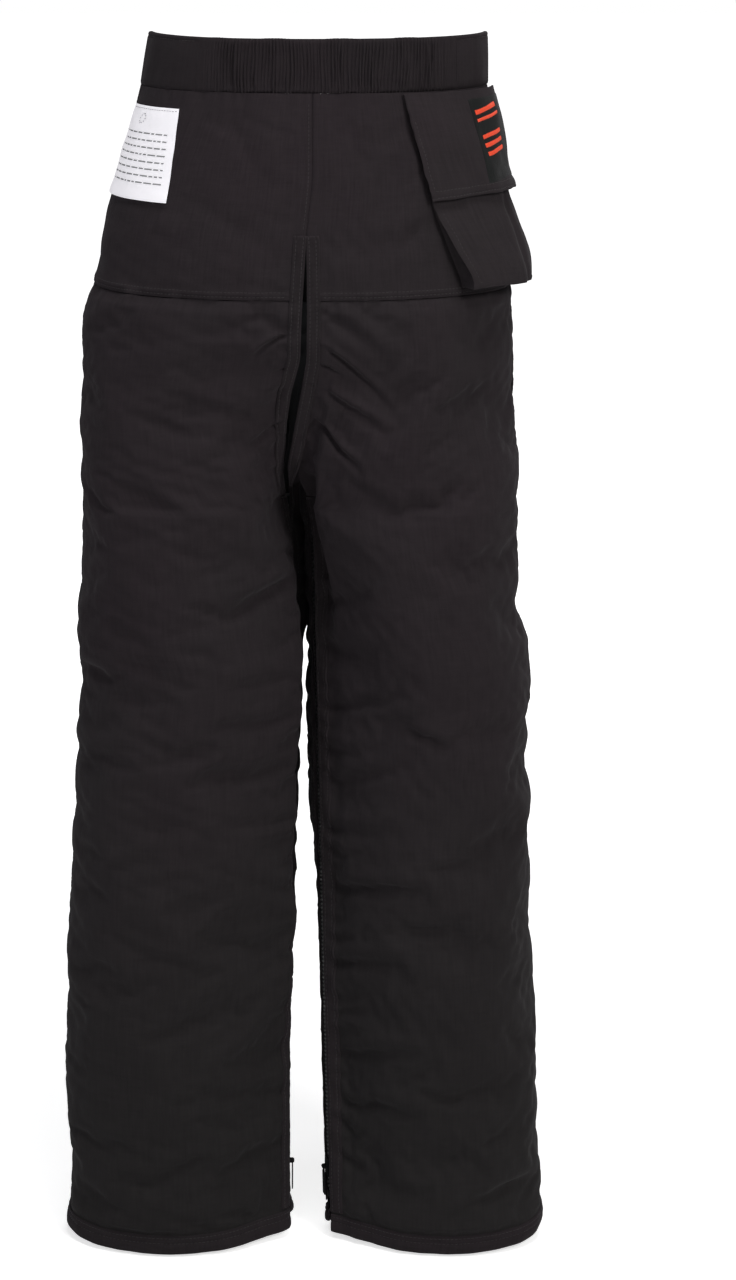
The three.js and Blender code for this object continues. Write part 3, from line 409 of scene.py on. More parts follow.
def smooth_interp(x, y, q):
    """Cubic through samples with finite-difference slopes."""
    m = np.gradient(y, x, axis=0)
    i = np.clip(np.searchsorted(x, q, "right") - 1, 0, len(x) - 2)
    h = (x[i + 1] - x[i])[:, None]
    t = ((q - x[i]) / (x[i + 1] - x[i]))[:, None]
    return ((2 * t ** 3 - 3 * t ** 2 + 1) * y[i] + (t ** 3 - 2 * t ** 2 + t) * h * m[i]
            + (-2 * t ** 3 + 3 * t ** 2) * y[i + 1] + (t ** 3 - t ** 2) * h * m[i + 1])


CLOTH, LENGTH = {}, {}
for side in ("left", "right"):
    s = -1 if side == "left" else 1
    rows_, lens = zip(*[row(side, float(z), US) for z in ZS])
    XY, L = np.array(rows_), np.array(lens)
    Z = np.repeat(ZS[:, None], len(US), 1)
    drop = 0.18 * (XY[..., 1] + np.hypot(XY[..., 1], 10)) * np.clip((Z - 837) / 176, 0, 1)
    lift = 12 * np.maximum(0, 1 - Z / 130) * (0.5 + 0.5 * XY[..., 1] / 62)
    P = np.concatenate([XY, (Z + lift - drop)[..., None]], 2)
    N = normals(P, side)
    arc = (US[None, :] + 1) / 2 * L[:, None]
    back_e, front_e = arc, L[:, None] - arc
    X, Zv = view_plane(P)
    facing = np.clip(-N[..., 1] * 2.5 + 0.15, 0, 1)
    h = fold_height(X, Zv) * facing * (1.3 if side == "right" else 1.15)
    zipped = step(30, 60, Z) * (1 - step(632, 655, Z))
    h += puckers(back_e, Z, 42, 640, 24 if side == "right" else 30, 1.5 if side == "right" else 1.3, 26, 0.15 * s, 11 + s) * zipped
    h += puckers(front_e, Z, 42, 640, 26, 1.5, 30, -0.1, 21 + s) * zipped
    h += puckers(front_e, Z, 665, 1000, 34, 1.0, 22, -0.3, 31 + s) * step(655, 680, Z)
    h += puckers(back_e, Z, 660, 880, 30, 0.7, 22, -0.5, 41 + s) * step(655, 675, Z) * (1 - step(870, 892, Z))
    side_e = np.abs(arc - L[:, None] / 2)
    h += puckers(side_e, Z + 6 * np.sign(arc - L[:, None] / 2), 20, 860, 30, 0.55, 18, 0.0, 51 + s)
    low = 1 - 0.6 * step(837, 930, Z)
    h += rolling(arc, Z, 61 + s, 150) * 1.5 * low + rolling(arc, Z, 71 + s, 62) * 0.75 * low + rolling(arc, Z, 81 + s, 30, 1.2) * 0.28
    # gathers under the elastic, and swells above the hem band
    under = np.exp(-(1013 - Z) / 16) * (US[None, :] < -0.2)
    h += (np.sin(arc * 0.42 + 2 * np.sin(arc * 0.09)) * 0.45 + np.sin(arc * 0.19 + s) * 0.5) * under
    h -= 0.35 * np.exp(-((Z - 17.5) / 2.6) ** 2)
    h -= 0.45 * np.exp(-((Z - 835.4) / 2.0) ** 2) * (1 - 0.3 * np.sin(arc * 0.13))
    h += 0.5 * np.exp(-((Z - 826) / 6.0) ** 2)
    # edges are sewn flat
    flat = step(0, 7, back_e) * step(0, 7, front_e)
    h *= 0.25 + 0.75 * flat
    h -= 0.7 * np.exp(-(back_e / 1.5) ** 2) * step(888, 900, Z)
    h += 0.35 * np.exp(-((back_e - 3.6) / 1.6) ** 2) * step(888, 900, Z)
    P = P + N * h[..., None]
    keep = np.zeros(P.shape[:2])
    for hard, e in ((11, back_e), (11, front_e)):
        keep = np.maximum(keep, np.where(e < hard, 1.0, 0))
    keep = np.maximum(keep, np.where((Z < 17) | (Z > 1001), 1.0, 0))
    keep = np.maximum(keep, np.where(np.abs(Z - 837) < 4, 0.5, 0))
    keep = np.maximum(keep, np.where(side_e < 5, 0.5, 0))
    if side == "right":   # the cloth behind the pocket lies still
        keep = np.maximum(keep, np.where((Z > 838) & (US[None, :] > -0.52) & (US[None, :] < 0.36), 1.0, 0))
    else:
        keep = np.maximum(keep, np.where((Z > 908) & (US[None, :] > -0.5) & (US[None, :] < 0.02), 1.0, 0))
    D = relax(side, P, arc, keep)
    calm = (1 - 0.72 * step(815, 850, Z)) * (0.5 + 0.5 * step(8, 80, side_e))
    P = P + D * (flat * calm * step(16, 24, Z) * (1 - step(992, 1004, Z)))[..., None]
    N = normals(P, side)
    c0 = int(np.searchsorted(US, -1 + 2 * 2.6 / 400))
    c1 = int(np.searchsorted(US, 1 - 2 * 2.6 / 400)) - 1
    N[:, :c0], N[:, c1 + 1:] = N[:, c0:c0 + 1], N[:, c1:c1 + 1]      # sewn edges keep the lie of the cloth beside them
    CLOTH[side], LENGTH[side] = (P, N), L


def at(side, u, z, off=0.0):
    """Points of the cloth's outer face at arrays of u and z, moved out by off."""
    P, N = CLOTH[side]
    u, z = np.broadcast_arrays(np.asarray(u, float), np.asarray(z, float))
    zc = np.clip(z, 0, 1013)
    i = np.clip(np.searchsorted(US, u, "right") - 1, 0, len(US) - 2)
    j = np.clip(np.searchsorted(ZS, zc, "right") - 1, 0, len(ZS) - 2)
    a = np.clip((u - US[i]) / (US[i + 1] - US[i]), 0, 1)[..., None]
    b = np.clip((zc - ZS[j]) / (ZS[j + 1] - ZS[j]), 0, 1)[..., None]

    def mix(G):
        return (G[j, i] * (1 - a) + G[j, i + 1] * a) * (1 - b) + (G[j + 1, i] * (1 - a) + G[j + 1, i + 1] * a) * b
    p, n = mix(P), mix(N)
    n /= np.linalg.norm(n, axis=-1, keepdims=True)
    p = p + n * np.broadcast_to(np.asarray(off, float), z.shape)[..., None]
    p[..., 2] += z - zc
    return p


def length(side, z):
    return np.interp(z, ZS, LENGTH[side])


def u_of_x(side, z, x):
    """The back half's u where the cloth has this x at height z."""
    us = np.linspace(-1, -0.02, 200)
    xs = at(side, us, np.full(200, float(z)))[:, 0]
    return float(np.interp(x, xs, us)) if side == "right" else float(np.interp(-x, -xs, us))


# ------------------------------------------------------------------ materials
def material(name, build):
    m = bpy.data.materials.new(name)
    m.use_nodes = True
    nt = m.node_tree
    for n in list(nt.nodes):
        if n.type not in ("BSDF_PRINCIPLED", "OUTPUT_MATERIAL"):
            nt.nodes.remove(n)
    bsdf = next(n for n in nt.nodes if n.type == "BSDF_PRINCIPLED")
    build(nt, bsdf)
    return m


def node(nt, kind, **values):
    n = nt.nodes.new(kind)
    for k, v in values.items():
        if k.startswith("_"):
            setattr(n, k[1:], v)
        else:
            n.inputs[k.replace("0", " ")].default_value = v
    return n


def scaled(nt, source, scale):
    m = node(nt, "ShaderNodeMapping")
    m.inputs["Scale"].default_value = scale
    nt.links.new(source, m.inputs["Vector"])
    return m.outputs[0]


def noise(nt, vec, detail=2.0, rough=0.5, scale=1.0):
    n = nt.nodes.new("ShaderNodeTexNoise")
    n.inputs["Scale"].default_value = scale
    n.inputs["Detail"].default_value = detail
    n.inputs["Roughness"].default_value = rough
    nt.links.new(vec, n.inputs["Vector"])
    return n.outputs[0]


def maths(nt, op, a, b, c=None):
    n = nt.nodes.new("ShaderNodeMath")
    n.operation = op
    for i, v in enumerate((a, b, c)):
        if v is None:
            continue
        if isinstance(v, (int, float)):
            n.inputs[i].default_value = v
        else:
            nt.links.new(v, n.inputs[i])
    return n.outputs[0]


def mix_color(nt, fac, a, b):
    n = nt.nodes.new("ShaderNodeMix")
    n.data_type = "RGBA"
    for key, v in ((0, fac), (6, a), (7, b)):
        if isinstance(v, (int, float)):
            n.inputs[key].default_value = v
        elif isinstance(v, tuple):
            n.inputs[key].default_value = (*v, 1)
        else:
            nt.links.new(v, n.inputs[key])
    return n.outputs[2]


def woven(name, dark, light, pitch=0.00055, slub=1.0, sheen=0.05, rough=0.88, bump=0.35, wear_and_highlight=0.25, spec=0.12, mottle=0.5, lower=None):
    """Woven cloth: crossed threads with slubs, uneven dye, light fuzz and paler edges and crests, partly wear and, on
    the waistband's ribs, a painted highlight.
    """
    def build(nt, bsdf):
        uv = nt.nodes.new("ShaderNodeUVMap").outputs[0]
        pos = nt.nodes.new("ShaderNodeTexCoord").outputs["Object"]
        k = 1 / pitch
        warp = noise(nt, scaled(nt, uv, (k, k * 0.035, 1)), 2.5, 0.6)
        weft = noise(nt, scaled(nt, uv, (k * 0.035, k, 1)), 2.5, 0.6)
        over = nt.nodes.new("ShaderNodeTexChecker")
        over.inputs["Scale"].default_value = 1.0
        nt.links.new(scaled(nt, uv, (k, k, 1)), over.inputs["Vector"])
        cloth = maths(nt, "ADD", maths(nt, "MULTIPLY", warp, 0.5), maths(nt, "MULTIPLY", weft, 0.5))
        streak = noise(nt, scaled(nt, uv, (420, 26, 1)), 3, 0.6)
        band = noise(nt, scaled(nt, uv, (30, 300, 1)), 3, 0.6)
        patchy = noise(nt, scaled(nt, pos, (9, 9, 9)), 4, 0.55)
        cloudy = noise(nt, scaled(nt, pos, (48, 48, 30)), 3, 0.6)
        v = maths(nt, "MULTIPLY_ADD", cloth, 0.9 * slub, -0.45 * slub)
        v = maths(nt, "ADD", v, maths(nt, "MULTIPLY_ADD", streak, 0.85 * slub, -0.425 * slub))
        v = maths(nt, "ADD", v, maths(nt, "MULTIPLY_ADD", band, 0.4 * slub, -0.2 * slub))
        v = maths(nt, "ADD", v, maths(nt, "MULTIPLY_ADD", patchy, 0.8 * mottle, -0.4 * mottle))
        v = maths(nt, "ADD", v, maths(nt, "MULTIPLY_ADD", cloudy, 0.5 * mottle, -0.25 * mottle))
        v = maths(nt, "ADD", v, maths(nt, "MULTIPLY_ADD", over.outputs[1], 0.06, -0.03))
        v = maths(nt, "ADD", v, 0.5)
        v.node.use_clamp = True
        col = mix_color(nt, v, dark, light)
        tint = noise(nt, scaled(nt, pos, (6.5, 6.5, 5.0)), 3, 0.5)
        t_ = maths(nt, "MULTIPLY_ADD", tint, 3.2, -1.1)
        t_.node.use_clamp = True
        if mottle >= 0.4 and not wear_and_highlight == 0:
            cool = mix_color(nt, v, (dark[0] * 0.94, dark[1] * 1.02, dark[2] * 0.97), (light[0] * 0.94, light[1] * 1.02, light[2] * 0.97))
            col = mix_color(nt, t_, cool, col)
        # Painted shade: lower down, the cloth takes darker, more neutral colours, standing in for the weaker light
        # near the floor.
        if lower:
            z = nt.nodes.new("ShaderNodeSeparateXYZ")
            nt.links.new(pos, z.inputs[0])
            r = nt.nodes.new("ShaderNodeMapRange")
            r.interpolation_type = "SMOOTHSTEP"
            r.inputs["From Min"].default_value, r.inputs["From Max"].default_value = 0.05, 0.62
            nt.links.new(z.outputs[2], r.inputs["Value"])
            col = mix_color(nt, r.outputs[0], mix_color(nt, v, lower[0], lower[1]), col)
        # Pointy places are painted paler: edge wear, and where the amount is large, as on the waistband's ribs, a
        # painted highlight on the crests.
        if wear_and_highlight:
            geo = nt.nodes.new("ShaderNodeNewGeometry").outputs["Pointiness"]
            w = maths(nt, "MULTIPLY_ADD", geo, 9.0, -4.9)
            w.node.use_clamp = True
            w = maths(nt, "MULTIPLY", w, wear_and_highlight)
            col = mix_color(nt, w, col, tuple(min(1, c * 2.4 + 0.01) for c in light))
        nt.links.new(col, bsdf.inputs["Base Color"])
        bsdf.inputs["Roughness"].default_value = rough
        r2 = maths(nt, "MULTIPLY_ADD", cloudy, 0.16, rough - 0.08)
        nt.links.new(r2, bsdf.inputs["Roughness"])
        bsdf.inputs["Specular IOR Level"].default_value = spec
        bsdf.inputs["Sheen Weight"].default_value = sheen
        bsdf.inputs["Sheen Roughness"].default_value = 0.45
        bsdf.inputs["Sheen Tint"].default_value = (0.9, 0.86, 0.9, 1)
        b = nt.nodes.new("ShaderNodeBump")
        b.inputs["Strength"].default_value = bump
        b.inputs["Distance"].default_value = 0.0006
        hsum = maths(nt, "ADD", cloth, maths(nt, "MULTIPLY", streak, 0.35))
        hsum = maths(nt, "ADD", hsum, maths(nt, "MULTIPLY", over.outputs[1], 0.18))
        nt.links.new(hsum, b.inputs["Height"])
        b2 = nt.nodes.new("ShaderNodeBump")
        b2.inputs["Strength"].default_value = 0.35
        b2.inputs["Distance"].default_value = 0.0012
        nt.links.new(noise(nt, scaled(nt, pos, (140, 140, 90)), 3, 0.6), b2.inputs["Height"])
        nt.links.new(b.outputs[0], b2.inputs["Normal"])
        nt.links.new(b2.outputs[0], bsdf.inputs["Normal"])
    return material(name, build)


def moulded(name, base, rough=0.42, metal=0.0, grain=900, bump=0.15, scratch=0.3, spec=0.5):
    def build(nt, bsdf):
        bsdf.inputs["Specular IOR Level"].default_value = spec
        pos = nt.nodes.new("ShaderNodeTexCoord").outputs["Object"]
        fine = noise(nt, scaled(nt, pos, (grain, grain, grain)), 3, 0.6)
        cloud = noise(nt, scaled(nt, pos, (90, 90, 90)), 4, 0.6)
        lines = noise(nt, scaled(nt, pos, (60, 900, 900)), 4, 0.7)
        col = mix_color(nt, cloud, tuple(c * 0.75 for c in base), tuple(min(1, c * 1.3) for c in base))
        geo = nt.nodes.new("ShaderNodeNewGeometry").outputs["Pointiness"]
        w = maths(nt, "MULTIPLY_ADD", geo, 10.0, -5.3)
        w.node.use_clamp = True
        w = maths(nt, "MULTIPLY", w, scratch)
        col = mix_color(nt, w, col, tuple(min(1, c * 3 + 0.03) for c in base))
        nt.links.new(col, bsdf.inputs["Base Color"])
        bsdf.inputs["Metallic"].default_value = metal
        nt.links.new(maths(nt, "MULTIPLY_ADD", lines, 0.3, rough - 0.15), bsdf.inputs["Roughness"])
        b = nt.nodes.new("ShaderNodeBump")
        b.inputs["Strength"].default_value = bump
        b.inputs["Distance"].default_value = 0.0004
        nt.links.new(fine, b.inputs["Height"])
        nt.links.new(b.outputs[0], bsdf.inputs["Normal"])
    return material(name, build)


# The shell's lower colour pair is painted shade, making the legs darker towards the floor.
SHELL = woven("shell_cloth", (0.0168, 0.0126, 0.0150), (0.0342, 0.0268, 0.0304), lower=((0.0128, 0.0118, 0.0120), (0.0262, 0.0240, 0.0243)))
# The band's strong pale crests are a painted highlight on its ribs, as well as wear.
BAND = woven("band_cloth", (0.0146, 0.0112, 0.0130), (0.0304, 0.0240, 0.0270), pitch=0.0005, mottle=0.4, wear_and_highlight=0.55)
POCKET = woven("pocket_cloth", (0.0190, 0.0144, 0.0168), (0.0370, 0.0292, 0.0328), mottle=0.4)
LINER = woven("lining_cloth", (0.006, 0.006, 0.0066), (0.015, 0.015, 0.0165), pitch=0.0011, slub=0.6, wear_and_highlight=0.1, sheen=0.05)
PADDING = woven("padding_yarn", (0.46, 0.42, 0.33), (0.74, 0.70, 0.58), pitch=0.0014, sheen=0.3, wear_and_highlight=0.0, bump=0.8)
WEB = woven("webbing_weave", (0.010, 0.010, 0.011), (0.026, 0.026, 0.028), pitch=0.0012, slub=0.6, bump=0.8, sheen=0.2, wear_and_highlight=0.4)
TAPE = woven("zip_tape_weave", (0.009, 0.009, 0.0095), (0.022, 0.021, 0.022), pitch=0.0005, slub=0.5)
HOOK = woven("hook_tape_pile", (0.008, 0.008, 0.008), (0.030, 0.030, 0.031), pitch=0.0009, slub=1.0, bump=1.0, sheen=0.4)
THREAD = woven("stitch_thread", (0.022, 0.019, 0.020), (0.052, 0.046, 0.048), pitch=0.0003, wear_and_highlight=0.3, sheen=0.2)
LABEL = woven("label_satin", (0.72, 0.71, 0.74), (0.86, 0.85, 0.88), pitch=0.0003, slub=0.35, sheen=0.25, rough=0.62, bump=0.2, wear_and_highlight=0.0, spec=0.4, mottle=0.25)
PRINT = woven("label_print", (0.30, 0.31, 0.31), (0.46, 0.47, 0.47), pitch=0.0004, wear_and_highlight=0.0)
PATCH = woven("patch_twill", (0.007, 0.008, 0.008), (0.018, 0.019, 0.019), pitch=0.0006, slub=0.6, sheen=0.1)
ORANGE = woven("embroidery_thread", (0.55, 0.040, 0.012), (0.90, 0.085, 0.024), pitch=0.0003, slub=0.8, sheen=0.25, rough=0.5, spec=0.5, wear_and_highlight=0.0, mottle=0.35)
PLASTIC = moulded("acetal_black", (0.013, 0.013, 0.014))
TEETH = moulded("tooth_plastic", (0.016, 0.016, 0.017), rough=0.38)
METAL = moulded("gunmetal", (0.008, 0.008, 0.009), rough=0.8, scratch=0.25, spec=0.1)

for m, painted_glow in ((LABEL, 0.48), (ORANGE, 0.30)):      # painted glow: the white label and the orange stitching emit light of their own, so they look brighter than the lamps alone make them
    b = next(n for n in m.node_tree.nodes if n.type == "BSDF_PRINCIPLED")
    m.node_tree.links.new(b.inputs["Base Color"].links[0].from_socket, b.inputs["Emission Color"])
    b.inputs["Emission Strength"].default_value = painted_glow

# ------------------------------------------------------------------ mesh tools
PIECES = []


def build_mesh(name, verts, faces, uvs, mat, body="garment", slot=None, replaces=(), angle=48, ride=True, smooth=True, close=False):
    """verts in garment millimetres; faces an (n, 4) or (n, 3) array or a list; uvs one pair per vertex, in metres."""
    verts = (np.asarray(verts, float).reshape(-1, 3) + SHIFT) / 1000
    me = bpy.data.meshes.new(name)
    if isinstance(faces, np.ndarray):
        n, k = faces.shape
        v = verts[faces]
        vol = float(np.einsum("ij,ij->", v[:, 0], np.cross(v[:, 1], v[:, 2]))) if k == 3 else float(
            np.einsum("ij,ij->", v[:, 0], np.cross(v[:, 1], v[:, 2])) + np.einsum("ij,ij->", v[:, 0], np.cross(v[:, 2], v[:, 3])))
        if vol < 0:
            faces = faces[:, ::-1]
        me.vertices.add(len(verts))
        me.vertices.foreach_set("co", verts.astype(np.float32).ravel())
        me.loops.add(n * k)
        me.loops.foreach_set("vertex_index", faces.astype(np.int32).ravel())
        me.polygons.add(n)
        me.polygons.foreach_set("loop_start", np.arange(0, n * k, k, dtype=np.int32))
        me.polygons.foreach_set("loop_total", np.full(n, k, np.int32))
        me.update(calc_edges=True)
        loops = faces.ravel()
    else:
        me.from_pydata(verts.tolist(), [], faces)
        loops = np.array([l.vertex_index for l in me.loops])
    if uvs is not None:
        layer = me.uv_layers.new(name="UVMap")
        layer.data.foreach_set("uv", np.asarray(uvs, np.float32).reshape(-1, 2)[loops].ravel())
    me.validate()
    if close:                                        # where folds meet in a point, faces are left with no area
        bm = bmesh.new()
        bm.from_mesh(me)
        bmesh.ops.remove_doubles(bm, verts=bm.verts, dist=2e-6)
        bmesh.ops.dissolve_degenerate(bm, edges=bm.edges, dist=1e-6)
        bm.to_mesh(me)
        bm.free()
    me.polygons.foreach_set("use_smooth", [smooth] * len(me.polygons))
    if angle:
        me.set_sharp_from_angle(angle=math.radians(angle))
    me.materials.append(mat)
    ob = bpy.data.objects.new(name, me)
    bpy.context.scene.collection.objects.link(ob)
    if ride:
        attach(ob, body)
    if replaces:
        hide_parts(*replaces)
    PIECES.append(ob)
    return ob


def grid_faces(nz, nu, base=0, flip=False, wrap=False):
    idx = base + np.arange(nz * nu).reshape(nz, nu)
    if wrap:
        idx = np.concatenate([idx, idx[:, :1]], 1)
    q = np.stack([idx[:-1, :-1], idx[:-1, 1:], idx[1:, 1:], idx[1:, :-1]], -1).reshape(-1, 4)
    return q[:, ::-1] if flip else q


def sheet_data(outer, inner, uv):
    nz, nu = outer.shape[:2]
    n = nz * nu
    verts = np.concatenate([outer.reshape(-1, 3), inner.reshape(-1, 3)])
    A = np.arange(n).reshape(nz, nu)
    B = A + n
    rim = []
    for a, b in ((A[0], B[0]), (A[-1][::-1], B[-1][::-1]), (A[:, -1], B[:, -1]), (A[::-1, 0], B[::-1, 0])):
        rim.append(np.stack([a[1:], a[:-1], b[:-1], b[1:]], -1))
    faces = np.concatenate([grid_faces(nz, nu), grid_faces(nz, nu, n, flip=True)] + rim)
    return verts, faces, np.concatenate([uv.reshape(-1, 2)] * 2)


def surface_uv(side, u, z):
    u, z = np.broadcast_arrays(np.asarray(u, float), np.asarray(z, float))
    return np.stack([(u + 1) / 2 * 0.6 * (1 if side == "right" else -1), z / 1000], -1)


def roll(d, deep=0.9, wide=2.4):
    return -deep * np.clip(1 - d / wide, 0, 1) ** 2


def panel(name, side, us, zs, thick=1.4, out=0.0, mat=SHELL, slot="shell_fabric", replaces=(), tuck=(1, 1, 1, 1), body="garment"):
    """A sewn panel: a closed thin sheet on the cloth whose edges turn in. out may be a function of (u, z)."""
    U, Zg = np.meshgrid(us, zs)
    Lz = length(side, Zg)
    d = np.full(U.shape, 99.0)
    for on, dist in zip(tuck, ((U - us[0]) * Lz / 2, (us[-1] - U) * Lz / 2, Zg - zs[0], zs[-1] - Zg)):
        if on:
            d = np.minimum(d, dist)
    base = out(U, Zg) if callable(out) else out
    o = base + roll(d)
    outer, inner = at(side, U, Zg, o), at(side, U, Zg, np.minimum(o - 0.5, base - thick + 0.3 * np.clip(1 - d / 2.4, 0, 1)))
    return build_mesh(name, *sheet_data(outer, inner, surface_uv(side, U, Zg)), mat, body=body, slot=slot, replaces=replaces)


def between(a, lo, hi, extra=()):
    v = a[(a > lo + 1e-6) & (a < hi - 1e-6)]
    return np.array(sorted({lo, hi, *v.tolist(), *extra}))


def sweep_mesh(stations):
    """stations: (n, k, 3), a closed profile of k points carried through n places; the ends are capped."""
    n, k = stations.shape[:2]
    verts = list(stations.reshape(-1, 3))
    q = grid_faces(n, k, wrap=True)
    caps = []
    for row_, flip in ((0, False), (n - 1, True)):
        centre = len(verts)
        verts.append(stations[row_].mean(0))
        ids = row_ * k + np.arange(k)
        nxt = np.roll(ids, -1)
        tri = np.stack([np.full(k, centre), nxt if not flip else ids, ids if not flip else nxt], -1)
        caps.append(np.concatenate([tri, tri[:, 2:3]], 1))
    return np.array(verts), q, caps


def swept(name, stations, uv, mat, **kw):
    verts, q, caps = sweep_mesh(stations)
    n, k = stations.shape[:2]
    tri = np.concatenate([np.concatenate([q[:, [0, 1, 2]], q[:, [0, 2, 3]]]), *[c[:, :3] for c in caps]])
    uvs = np.concatenate([uv.reshape(-1, 2), uv[0].mean(0)[None], uv[-1].mean(0)[None]])
    return build_mesh(name, verts, tri, uvs, mat, **kw)


class Pile:
    """Many small closed solids gathered into one mesh."""

    def __init__(self):
        self.v, self.f, self.uv, self.n = [], [], [], 0

    def add(self, verts, faces, uv=None):
        verts = np.asarray(verts, float)
        self.v.append(verts)
        self.f.append(np.asarray(faces) + self.n)
        self.uv.append(verts[:, [0, 2]] / 1000 if uv is None else uv)
        self.n += len(verts)

    def done(self, name, mat, **kw):
        f = np.concatenate(self.f)
        return build_mesh(name, np.concatenate(self.v), f, np.concatenate(self.uv), mat, **kw)


_ang = np.arange(6) / 6 * math.tau
_ring = np.stack([np.cos(_ang), np.sin(_ang)], 1)


def thread(pile, a, b, n, width=0.5, high=0.32, sag=0.22):
    """One stitch: a short raised strand from a to b on a surface with normal n."""
    a, b, n = np.asarray(a, float), np.asarray(b, float), np.asarray(n, float)
    d = b - a
    L = np.linalg.norm(d)
    if L < 1e-6:
        return
    d = d / L
    w = np.cross(n, d)
    w /= np.linalg.norm(w) + 1e-12
    verts = []
    for t, r, up in ((0.0, 0.35, -sag), (0.18, 0.9, 0.0), (0.5, 1.0, 0.08), (0.82, 0.9, 0.0), (1.0, 0.35, -sag)):
        c = a + d * L * t + n * up
        for x, y in _ring:
            verts.append(c + w * x * width / 2 * r + n * y * high / 2 * r)
    verts = np.array([*verts, a - n * sag, b - n * sag])
    f = []
    for i in range(4):
        for k in range(6):
            p, q = i * 6 + k, i * 6 + (k + 1) % 6
            f += [(p, q, q + 6), (p, q + 6, p + 6)]
    for k in range(6):
        f.append((30, (k + 1) % 6, k))
        f.append((31, 24 + k, 24 + (k + 1) % 6))
    pile.add(verts, f)


def stitch_line(pile, pts, nrm, pitch=3.6, dash=2.7, width=0.5):
    pts, nrm = np.asarray(pts, float), np.asarray(nrm, float)
    acc = np.concatenate([[0], np.cumsum(np.linalg.norm(np.diff(pts, axis=0), axis=1))])
    count = int(acc[-1] // pitch)
    for i in range(count):
        s0 = i * pitch + 0.3
        p = [np.array([np.interp(s, acc, pts[:, k]) for k in range(3)]) for s in (s0, s0 + dash)]
        n = np.array([np.interp(s0 + dash / 2, acc, nrm[:, k]) for k in range(3)])
        thread(pile, p[0], p[1], n / np.linalg.norm(n), width)


def surface_line(side, u, z, off):
    """A line on the cloth and its normals."""
    a, b = at(side, u, z, off), at(side, u, z, off + 1.0)
    return a, b - a


def dense(a, b, gap=1.5):
    return np.linspace(a, b, max(2, int(abs(b - a) / gap)))


# ------------------------------------------------------------------ shell, padding and lining
for side in ("left", "right"):
    S = -1 if side == "left" else 1
    back, front = between(US, -1.0, -0.00008), between(US, 0.00008, 1.0)
    felled = lambda U, Zg: 0.55 * (1 - step(843.5, 846.5, Zg)) + 0.25 * np.exp(-((Zg - 842.0) / 1.6) ** 2) - 0.35 * np.exp(-((Zg - 840.2) / 0.9) ** 2) - 0.35 * np.exp(-((Zg - 844.2) / 0.8) ** 2)
    panel(f"back_yoke_{side}", side, back, between(ZS, 837.3, 1013.0), out=felled, tuck=(1, 1, 1, 0), replaces=(f"back_yoke_{side}",))
    panel(f"leg_back_panel_{side}", side, back, between(ZS, 1.2, 836.7), replaces=(f"leg_back_panel_{side}",))
    panel(f"leg_front_panel_{side}", side, front, between(ZS, 1.2, 1013.0), tuck=(1, 1, 1, 0), replaces=(f"leg_front_panel_{side}",))
    us, zs = between(US[::2], -0.93, 0.93), between(ZS[::2], 20.0, 645.0)
    U, Zg = np.meshgrid(us, zs)
    quilt = 0.5 * np.cos(Zg / 26 * math.tau) * np.cos(U * 34)
    build_mesh(f"protective_pad_{side}", *sheet_data(at(side, U, Zg, -2.7), at(side, U, Zg, -6.0 - quilt), surface_uv(side, U, Zg)),
               PADDING, slot="cut_resistant_layers", replaces=(f"protective_pad_{side}",))
    us, zs = between(US[::2], -0.985, 0.985), between(ZS[::2], 1.7, 950)
    U, Zg = np.meshgrid(us, zs)
    near = np.minimum(1 - np.abs(U), 0.12) / 0.12
    o = -2.4 - 5.2 * step(0, 1, near) * step(0, 22, Zg)
    build_mesh(f"lining_{side}", *sheet_data(at(side, U, Zg, o), at(side, U, Zg, o - 0.8), surface_uv(side, U, Zg)),
               LINER, slot="lining_fabric", replaces=(f"lining_{side}",))

    # hem band: outside face with two sewn channels, rolled bottom, and a narrow turn-up inside
    prof = [(0.0, 16.3), (0.4, 16.4), (0.85, 16.0), (1.1, 15.2), (0.95, 14.4), (0.9, 14.0), (1.3, 13.2), (1.65, 11.8), (1.5, 10.8), (1.12, 10.1), (1.12, 9.8),
            (1.55, 9.0), (1.9, 7.0), (1.95, 4.5), (1.7, 2.2), (1.0, 0.6), (-0.2, 0.05), (-3.5, -0.1), (-6.6, 0.2), (-7.9, 1.0), (-8.5, 3.0), (-8.5, 11.6), (-7.9, 12.2),
            (-7.4, 11.8), (-7.4, 3.4), (-6.6, 1.9), (-4.2, 1.4), (-1.0, 1.5), (0.05, 2.6), (0.05, 9.0)]
    us = US[::1]
    O, Zp = np.array(prof).T
    narrow = (1 - 0.62 * (1 - step(0, 0.06, 1 - np.abs(us))))[:, None]
    o = np.where(O < -0.5, O[None, :] * narrow, O[None, :] + 0 * narrow)
    wave = 0.35 * np.sin(us * 70 + S) * 0.6
    st = at(side, us[:, None], np.clip(Zp, 0, None)[None, :] + 0 * us[:, None], o + wave[:, None] * (O[None, :] > 0.5))
    st[..., 2] += np.minimum(Zp, 0)[None, :]
    uvh = np.stack([np.repeat((us[:, None] + 1) * 0.3, len(prof), 1), np.repeat((np.arange(len(prof)) * 1.3 / 1000)[None], len(us), 0)], -1)
    swept(f"hem_band_{side}", st, uvh, BAND, slot="band_fabric", replaces=(f"hem_band_{side}",))


